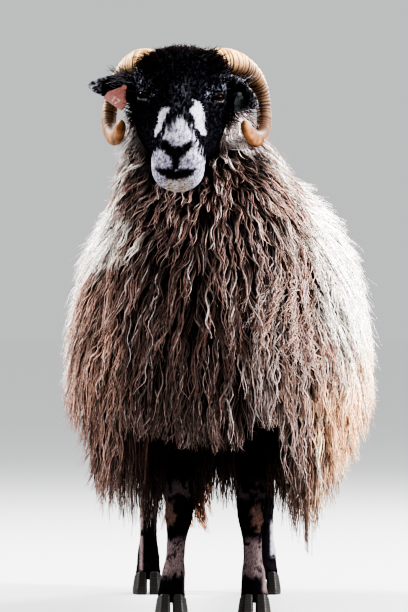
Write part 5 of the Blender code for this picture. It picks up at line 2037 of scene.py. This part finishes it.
@dataclass
class Studio:
    """A plain pale floor, soft light and the camera."""

    camera_at: tuple = (-0.0265, -8.22, 0.60)
    focal: float = 273.9
    pitch_down: float = 0.4676
    lamps: tuple = (  # name, place, target, side in metres and watts
        ("front_fill", (-1.2, -5.0, 2.4), (0.0, 0.0, 0.55), 2.6, 160.0),
        ("sun_side", (3.6, -0.5, 2.5), (0.0, 0.0, 0.55), 0.9, 760.0),
        ("back_rim", (1.6, 2.8, 2.9), (0.0, 0.0, 0.60), 1.2, 330.0),
        ("left_rim", (-2.6, 1.4, 2.9), (0.0, 0.0, 0.60), 1.2, 520.0),
        ("sky", (0.0, 0.6, 4.5), (0.0, 0.0, 0.0), 4.0, 90.0),
    )

    def build(self) -> None:
        """Set up floor, lights, world and camera."""
        self.build_floor()
        for lamp in self.lamps:
            self.light(*lamp)
        world = bpy.data.worlds.new("studio")
        world.use_nodes = True
        tree = world.node_tree
        backdrop = tree.nodes["Background"]
        backdrop.inputs["Color"].default_value = (0.83, 0.84, 0.85, 1.0)
        seen = tree.nodes.new("ShaderNodeLightPath").outputs["Is Camera Ray"]
        strength = tree.nodes.new("ShaderNodeMapRange")
        strength.inputs["To Min"].default_value = 0.26
        strength.inputs["To Max"].default_value = 0.56
        tree.links.new(seen, strength.inputs["Value"])
        tree.links.new(strength.outputs["Result"], backdrop.inputs["Strength"])
        bpy.context.scene.world = world
        bpy.context.scene.view_settings.look = "AgX - Very High Contrast"
        self.build_camera()

    def build_floor(self) -> None:
        """A wide pale floor."""
        bm = bmesh.new()
        bmesh.ops.create_circle(bm, cap_ends=True, segments=96, radius=30.0)
        floor = bm_object("floor", bm)
        finish = Finish("pale_floor", {"Roughness": 0.9, "Specular IOR Level": 0.1, "Emission Strength": 0.50,
                                       "Emission Color": (0.80, 0.81, 0.82, 1.0)})
        speckle = finish.noise(finish.place(), 60.0, 3.0)
        finish.feed("Base Color", finish.mix(speckle, (0.20, 0.20, 0.20), (0.23, 0.23, 0.228)))
        floor.data.materials.append(finish.material)

    def light(self, name: str, place: tuple, target: tuple, size: float, power: float) -> None:
        """One soft square lamp aimed at a point.

        Args:
            name: the lamp's name.
            place: where it hangs.
            target: where it points.
            size: its side.
            power: its watts.
        """
        lamp = bpy.data.lights.new(name, "AREA")
        lamp.shape = "SQUARE"
        lamp.size = size
        lamp.energy = power
        hung = bpy.data.objects.new(name, lamp)
        bpy.context.scene.collection.objects.link(hung)
        hung.location = place
        aim = Vector(target) - Vector(place)
        hung.rotation_euler = aim.to_track_quat("-Z", "Y").to_euler()

    def build_camera(self) -> None:
        """A long lens from in front, a little above chest height."""
        lens = bpy.data.cameras.new("camera")
        lens.lens = self.focal
        lens.sensor_width = 36.0
        lens.clip_end = 100.0
        camera = bpy.data.objects.new("camera", lens)
        bpy.context.scene.collection.objects.link(camera)
        camera.location = self.camera_at
        camera.rotation_euler = (math.radians(90 - self.pitch_down), 0.0, 0.0)
        bpy.context.scene.camera = camera


def node_form(*nodes: str) -> Form:
    """A form of some frame nodes as they are."""
    thing = joined_nodes("form", nodes, 0.0)
    form = Form(thing.data)
    bpy.data.objects.remove(thing, do_unlink=True)
    return form


def main() -> None:
    """Build and dress the whole ewe."""
    logging.basicConfig(level=logging.INFO, format="%(name)s: %(message)s")
    head = HeadFrame()
    markings = Markings(head)
    Studio().build()
    skin = Skin(head)
    skin.build()
    skin.dress(markings, node_form("head", "ear_left", "ear_right", "eye_left", "eye_right"))
    LOG.info("skin: %d faces", len(skin.piece.data.polygons))
    horns = Horns(head)
    for side_name in SIDES:
        LOG.info("%s", Eyes(head).build(side_name).name)
        LOG.info("%s", horns.build(side_name).name)
    hooves = Hooves()
    for end in ("front", "rear"):
        for side_name in SIDES:
            for which in ("outer", "inner"):
                LOG.info("%s", hooves.build(end, side_name, which).name)
            LOG.info("%s", hooves.build_dewclaws(end, side_name).name)
    tags = (
        Tag(head, "tag_orange", Plastic.ORANGE, "17", 0.038, 0.036, 0.014,
            (-0.0965, 0.052, -0.0115), (-0.528, -0.30, -0.849), (0.0, -1.0, 0.0)),
        Tag(head, "tag_green", Plastic.GREEN, "17", 0.020, 0.028, 0.015,
            (0.0967, 0.030, -0.0175), (0.10, 0.0, -1.0), (0.30, -0.95, 0.0)),
    )
    for tag in tags:
        for piece in tag.build():
            LOG.info("%s", piece.name)
    sweep = LockSweep()
    wool = wool_finish()
    Fleece(skin, markings, node_form("head")).build(sweep, wool)
    ShortHair(skin, markings, horns).build(sweep, hair_finish())


if __name__ == "__main__":
    main()
